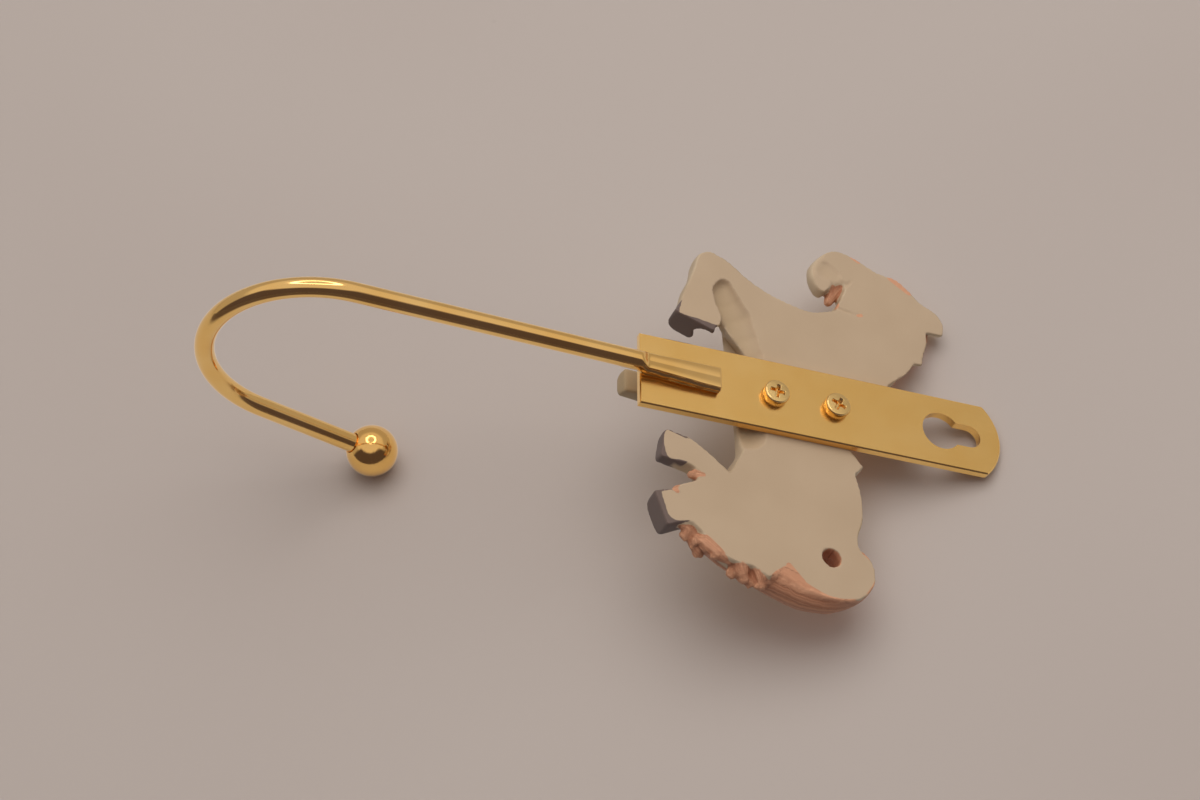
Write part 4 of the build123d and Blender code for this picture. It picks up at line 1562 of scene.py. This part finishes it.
        normals = np.zeros(len(mesh.vertices) * 3, np.float32)
        mesh.vertices.foreach_get("normal", normals)
        backwards = normals.reshape(-1, 3)[:, 1]
        soft = self.flat_edge[0] + self.flat_edge[1] * hair_mask
        on_flat = between(backwards, *self.flat_faces) * (depth < self.flat_depth) * between(rim, 0, -soft)
        on_stand = (up < self.stand_top) * (np.abs(across - self.stand_span[0]) < self.stand_span[1])
        on_stand = on_stand * between(depth, *self.stand_depth) * between(backwards, *self.stand_faces)
        in_hollow = between(hollow, *self.hollow_paint) * (rim < self.hollow_rim)
        bare = np.max([on_flat, on_stand, in_hollow], axis=0) * (1 - in_hole)
        bare = bare * (1 - np.maximum(daubs, hoof_daubs))

        # Painted shade and highlight: darker where the field sinks around a point, lighter on ridges, and fully dark in
        # the tail's hole. On the bare resin it is painted shade in the hollows and on the standing hoof instead.
        ways = np.vstack([np.eye(3), -np.eye(3)]) * self.shade_step
        inwards = np.mean([relief.sample(relief.value, places + way) for way in ways], axis=0) / self.shade_step
        groove = np.clip(self.shade_start - inwards * self.shade_gain, 0, 1) * (depth > self.shade_least_depth)
        bare_shade = between(depth, *self.hollow_shade_depth) * self.hollow_share * in_hollow
        bare_shade = np.maximum(self.stand_share * on_stand, bare_shade)
        groove = np.where(bare > 0.5, bare_shade, np.maximum(groove, in_hole))
        masks = np.column_stack([hair_mask, hoof_mask, eye_mask, np.ones(len(places))])
        add_field(mesh, "paint", "FLOAT_COLOR", masks)
        for name, values in (("bare", bare), ("groove", groove), ("comb", self.comb(places, hair))):
            add_field(mesh, name, "FLOAT", values)


def smoothed(places: np.ndarray, faces: np.ndarray, held: np.ndarray, passes: int) -> np.ndarray:
    """Relax a mesh towards its neighbours' middle.

    Args:
        places: the points.
        faces: four-sided faces.
        held: points that keep their depth.
        passes: how often.

    Returns:
        The relaxed points.
    """
    pairs = np.vstack([faces[:, [0, 1]], faces[:, [1, 2]], faces[:, [2, 3]], faces[:, [3, 0]]])
    pairs = np.vstack([pairs, pairs[:, ::-1]])
    count = np.bincount(pairs[:, 0], minlength=len(places))[:, None]
    depth = np.where(held, 0.0, places[:, 2])
    places = np.column_stack([places[:, :2], depth])
    for _ in range(passes):
        total = np.column_stack([np.bincount(pairs[:, 0], places[pairs[:, 1], i], len(places)) for i in range(3)])
        moved = places + 0.5 * (total / np.maximum(count, 1) - places)
        moved[held, 2] = 0.0
        places = moved
    return places


@dataclass
class Studio:
    """The table, the light tent and the camera of the photograph."""

    position: Point3 = (-329.76, 446.31, -250.68)
    right: Point3 = (0.0048, 0.3428, 0.9394)
    up: Point3 = (0.8308, 0.5215, -0.1945)
    backward: Point3 = (-0.5566, 0.7814, -0.2823)
    lens: float = 73.5
    sensor: float = 36.0
    nearest: float = 0.01
    table_up: Point3 = (0.0, 0.9178, -0.3970)
    table_point: Point3 = (0.0, -2.2, 16.2)
    table_colour: str = "b4a79e"
    table_deep: str = "b0a299"
    lamp_way: Point3 = (0.317, 0.887, -0.339)
    lamp_distance: float = 0.95
    # Each lamp's width in metres and power in watts.
    lamp_above: Point2 = (1.1, 5.2)
    lamp_front: Point2 = (0.6, 5.5)
    front_place: Point3 = (0.35, -0.75, 0.35)
    aim: Point3 = (0.0, -0.03, -0.07)
    dust: str = "86796f"
    shade_mm: float = 1000 / 6
    speck_mm: float = 1000 / 14
    speck_size: Point2 = (0.01, 0.02)
    dust_share: float = 0.16
    table_rough: float = 0.55
    table_size: float = 2600.0
    table_steps: int = 40
    table_shift: float = 80.0
    # The table's colour in reflections: painted light near the middle, painted shade further towards the camera's side.
    mirror_near: str = "cecdcb"
    mirror_far: str = "5c545c"
    mirror_fade: Point2 = (-0.085, -0.125)
    backdrop: str = "b8aba2"
    dark_colour: str = "554e58"
    dark_side: Point2 = (0.18, 0.36)
    dark_foot: Point2 = (-0.12, -0.02)
    dark_top: Point2 = (0.66, 0.8)
    ring_rim: Point2 = (0.928, 0.942)
    ring_eye: Point2 = (0.962, 0.974)
    ring_power: float = 4.0
    # The walls' colours from straight below, 0, to straight above, 1.
    walls: tuple[tuple[float, str], ...] = (
        (0.0, "b3b3b3"), (0.49, "b3b3b3"), (0.52, "b6b5b4"), (0.66, "b2b1b0"), (0.745, "b5b4b3"),
        (0.8, "dad9d8"), (0.9, "dfdedd"), (0.97, "dcdbda"),
    )

    def camera(self) -> None:
        """Stand the camera where the photograph was taken."""
        data = bpy.data.cameras.new("camera")
        data.lens, data.sensor_width, data.clip_start = self.lens, self.sensor, self.nearest
        eye = bpy.data.objects.new("camera", data)
        axes = Matrix([self.right, self.up, self.backward]).transposed().to_4x4()
        eye.matrix_world = Matrix.Translation(Vector(self.position) * MM) @ axes
        bpy.context.scene.collection.objects.link(eye)
        bpy.context.scene.camera = eye

    def table(self) -> None:
        """Lay the table under the hook, open from below so that views of the front see past it."""
        normal = Vector(self.table_up).normalized()
        across = Vector((1, 0, 0))
        along = normal.cross(across)
        middle = Vector(self.table_point) + along * self.table_shift
        size, steps = self.table_size, self.table_steps
        points, faces = [], []
        for i in range(steps + 1):
            for j in range(steps + 1):
                points.append(middle + across * size * (i / steps - 0.5) + along * size * (j / steps - 0.5))
        for i in range(steps):
            for j in range(steps):
                k = i * (steps + 1) + j
                faces.append((k, k + steps + 1, k + steps + 2, k + 1))
        floor = mesh_object("table", np.array([tuple(p) for p in points]), faces, smooth=False)
        if floor.data.polygons[0].normal.dot(normal) < 0:
            floor.data.flip_normals()
        floor.data.materials.append(self.table_material())
        floor.visible_shadow = False
        floor.visible_diffuse = False

    def table_material(self) -> bpy.types.Material:
        """A matt laminate with a few specks of dust, seen only from above. In reflections it shows a painted colour:
        paler in the lit middle as painted light, darker towards the camera's side as painted shade.
        """
        made, add = new_material("matt laminate table top")
        place = add(COORDINATES).outputs["Object"]
        broad = add(NOISE, {"Vector": place, "Scale": 1 / (self.shade_mm * MM), "Detail": 1.0})
        tone = add(RAMP, [broad], stops=[(0.3, self.table_deep), (0.7, self.table_colour)])
        specks = add("ShaderNodeTexVoronoi", {"Vector": place, "Scale": 1 / (self.speck_mm * MM)})
        spot = add(RANGE, (specks.outputs["Distance"], *self.speck_size, self.dust_share, 0.0))
        colour = add(MIX, {0: spot, 6: tone, 7: linear(self.dust)}, data_type="RGBA")
        path = add(LIGHT_PATH).outputs
        # Painted reflection: metal sees the table paler in the middle and darker towards the camera's side.
        far = add(RANGE, (add(SPLIT, [place]).outputs["X"], *self.mirror_fade))
        mirrored = add(RAMP, [far], stops=[(0.0, self.mirror_near), (1.0, self.mirror_far)])
        shown = add(MIX, {0: path["Is Glossy Ray"], 6: colour, 7: mirrored}, data_type="RGBA")
        top = add(PRINCIPLED, {"Base Color": shown, "Roughness": self.table_rough})
        under = add("ShaderNodeNewGeometry").outputs["Backfacing"]
        seen_through = add(MATH, (under, path["Is Camera Ray"]), operation="MULTIPLY")
        both = add("ShaderNodeMixShader", (seen_through, top, add("ShaderNodeBsdfTransparent")))
        add("ShaderNodeOutputMaterial", [both])
        return made

    def tent(self) -> None:
        """A pale room: brighter above, calm walls, a dark side where the picture is taken, and a ring lamp.

        The ring is for reflections only. Its light on the hook comes from the lamp that hangs there.
        """
        world = bpy.data.worlds.new("pale_room")
        bpy.context.scene.world = world
        world.use_nodes = True
        world.node_tree.nodes.clear()
        add = partial(add_node, world.node_tree)
        way = add(COORDINATES).outputs["Generated"]
        rise, to_camera_side, to_lamp = (
            add(VECTORS, (way, tuple(axis)), operation="DOT_PRODUCT").outputs["Value"]
            for axis in (self.table_up, (-1.0, 0.0, 0.0), Vector(self.lamp_way).normalized())
        )
        level = add(RAMP, [add(RANGE, (rise, -1.0, 1.0))], stops=self.walls)
        near, above_floor, below_top, outer, inner = (
            add(RANGE, (value, low, high, *ends), interpolation_type="SMOOTHSTEP")
            for value, (low, high), ends in (
                (to_camera_side, self.dark_side, (0.0, 1.0)),
                (rise, self.dark_foot, (0.0, 1.0)),
                (rise, self.dark_top, (1.0, 0.0)),
                (to_lamp, self.ring_rim, (0.0, 1.0)),
                (to_lamp, self.ring_eye, (1.0, 0.0)),
            )
        )
        band = add(MATH, (above_floor, below_top), operation="MULTIPLY")
        dark = add(MATH, (near, band), operation="MULTIPLY")
        lit = add(MIX, {0: dark, 6: level, 7: linear(self.dark_colour)}, data_type="RGBA")
        path = add(LIGHT_PATH).outputs
        ring = add(MATH, (outer, inner), operation="MULTIPLY")
        glow = add(MATH, (ring, path["Is Glossy Ray"]), operation="MULTIPLY")
        shown = add(MIX, {0: path["Is Camera Ray"], 6: lit, 7: linear(self.backdrop)}, data_type="RGBA")
        power = add(MATH, (glow, self.ring_power, 1.0), operation="MULTIPLY_ADD")
        add("ShaderNodeOutputWorld", [add("ShaderNodeBackground", {"Color": shown, "Strength": power})])

    def lamp(self, name: str, place: Vector, size: float, power: float) -> None:
        """Hang a soft lamp that faces the hook and shows in no reflection.

        Args:
            name: the lamp's name.
            place: where it hangs, in metres from the aim.
            size: its width in metres.
            power: its power in watts.
        """
        data = bpy.data.lights.new(name, "AREA")
        data.shape, data.size, data.energy = "DISK", size, power
        lamp = bpy.data.objects.new(name, data)
        turned = place.to_track_quat("Z", "Y").to_matrix().to_4x4()
        lamp.matrix_world = Matrix.Translation(Vector(self.aim) + place) @ turned
        lamp.visible_glossy = False
        bpy.context.scene.collection.objects.link(lamp)

    def build(self) -> None:
        """Set up the camera, the table, the room and the lamps."""
        self.camera()
        self.table()
        self.tent()
        self.lamp("lamp_above", Vector(self.lamp_way).normalized() * self.lamp_distance, *self.lamp_above)
        self.lamp("lamp_front", Vector(self.front_place), *self.lamp_front)
        LOG.info("studio: camera, table, room and lamps")


def main() -> None:
    """Build the hook piece by piece, in its studio."""
    scene = bpy.context.scene
    scene.view_settings.view_transform = "Standard"
    Studio().build()
    BackPlate().dress()
    rod = HookRod()
    rod.build()
    BallEnd(rod).build()
    Screws().build()
    Pony().build()


if __name__ == "__main__":
    logging.basicConfig(level=logging.INFO, format="%(name)s: %(message)s")
    main()
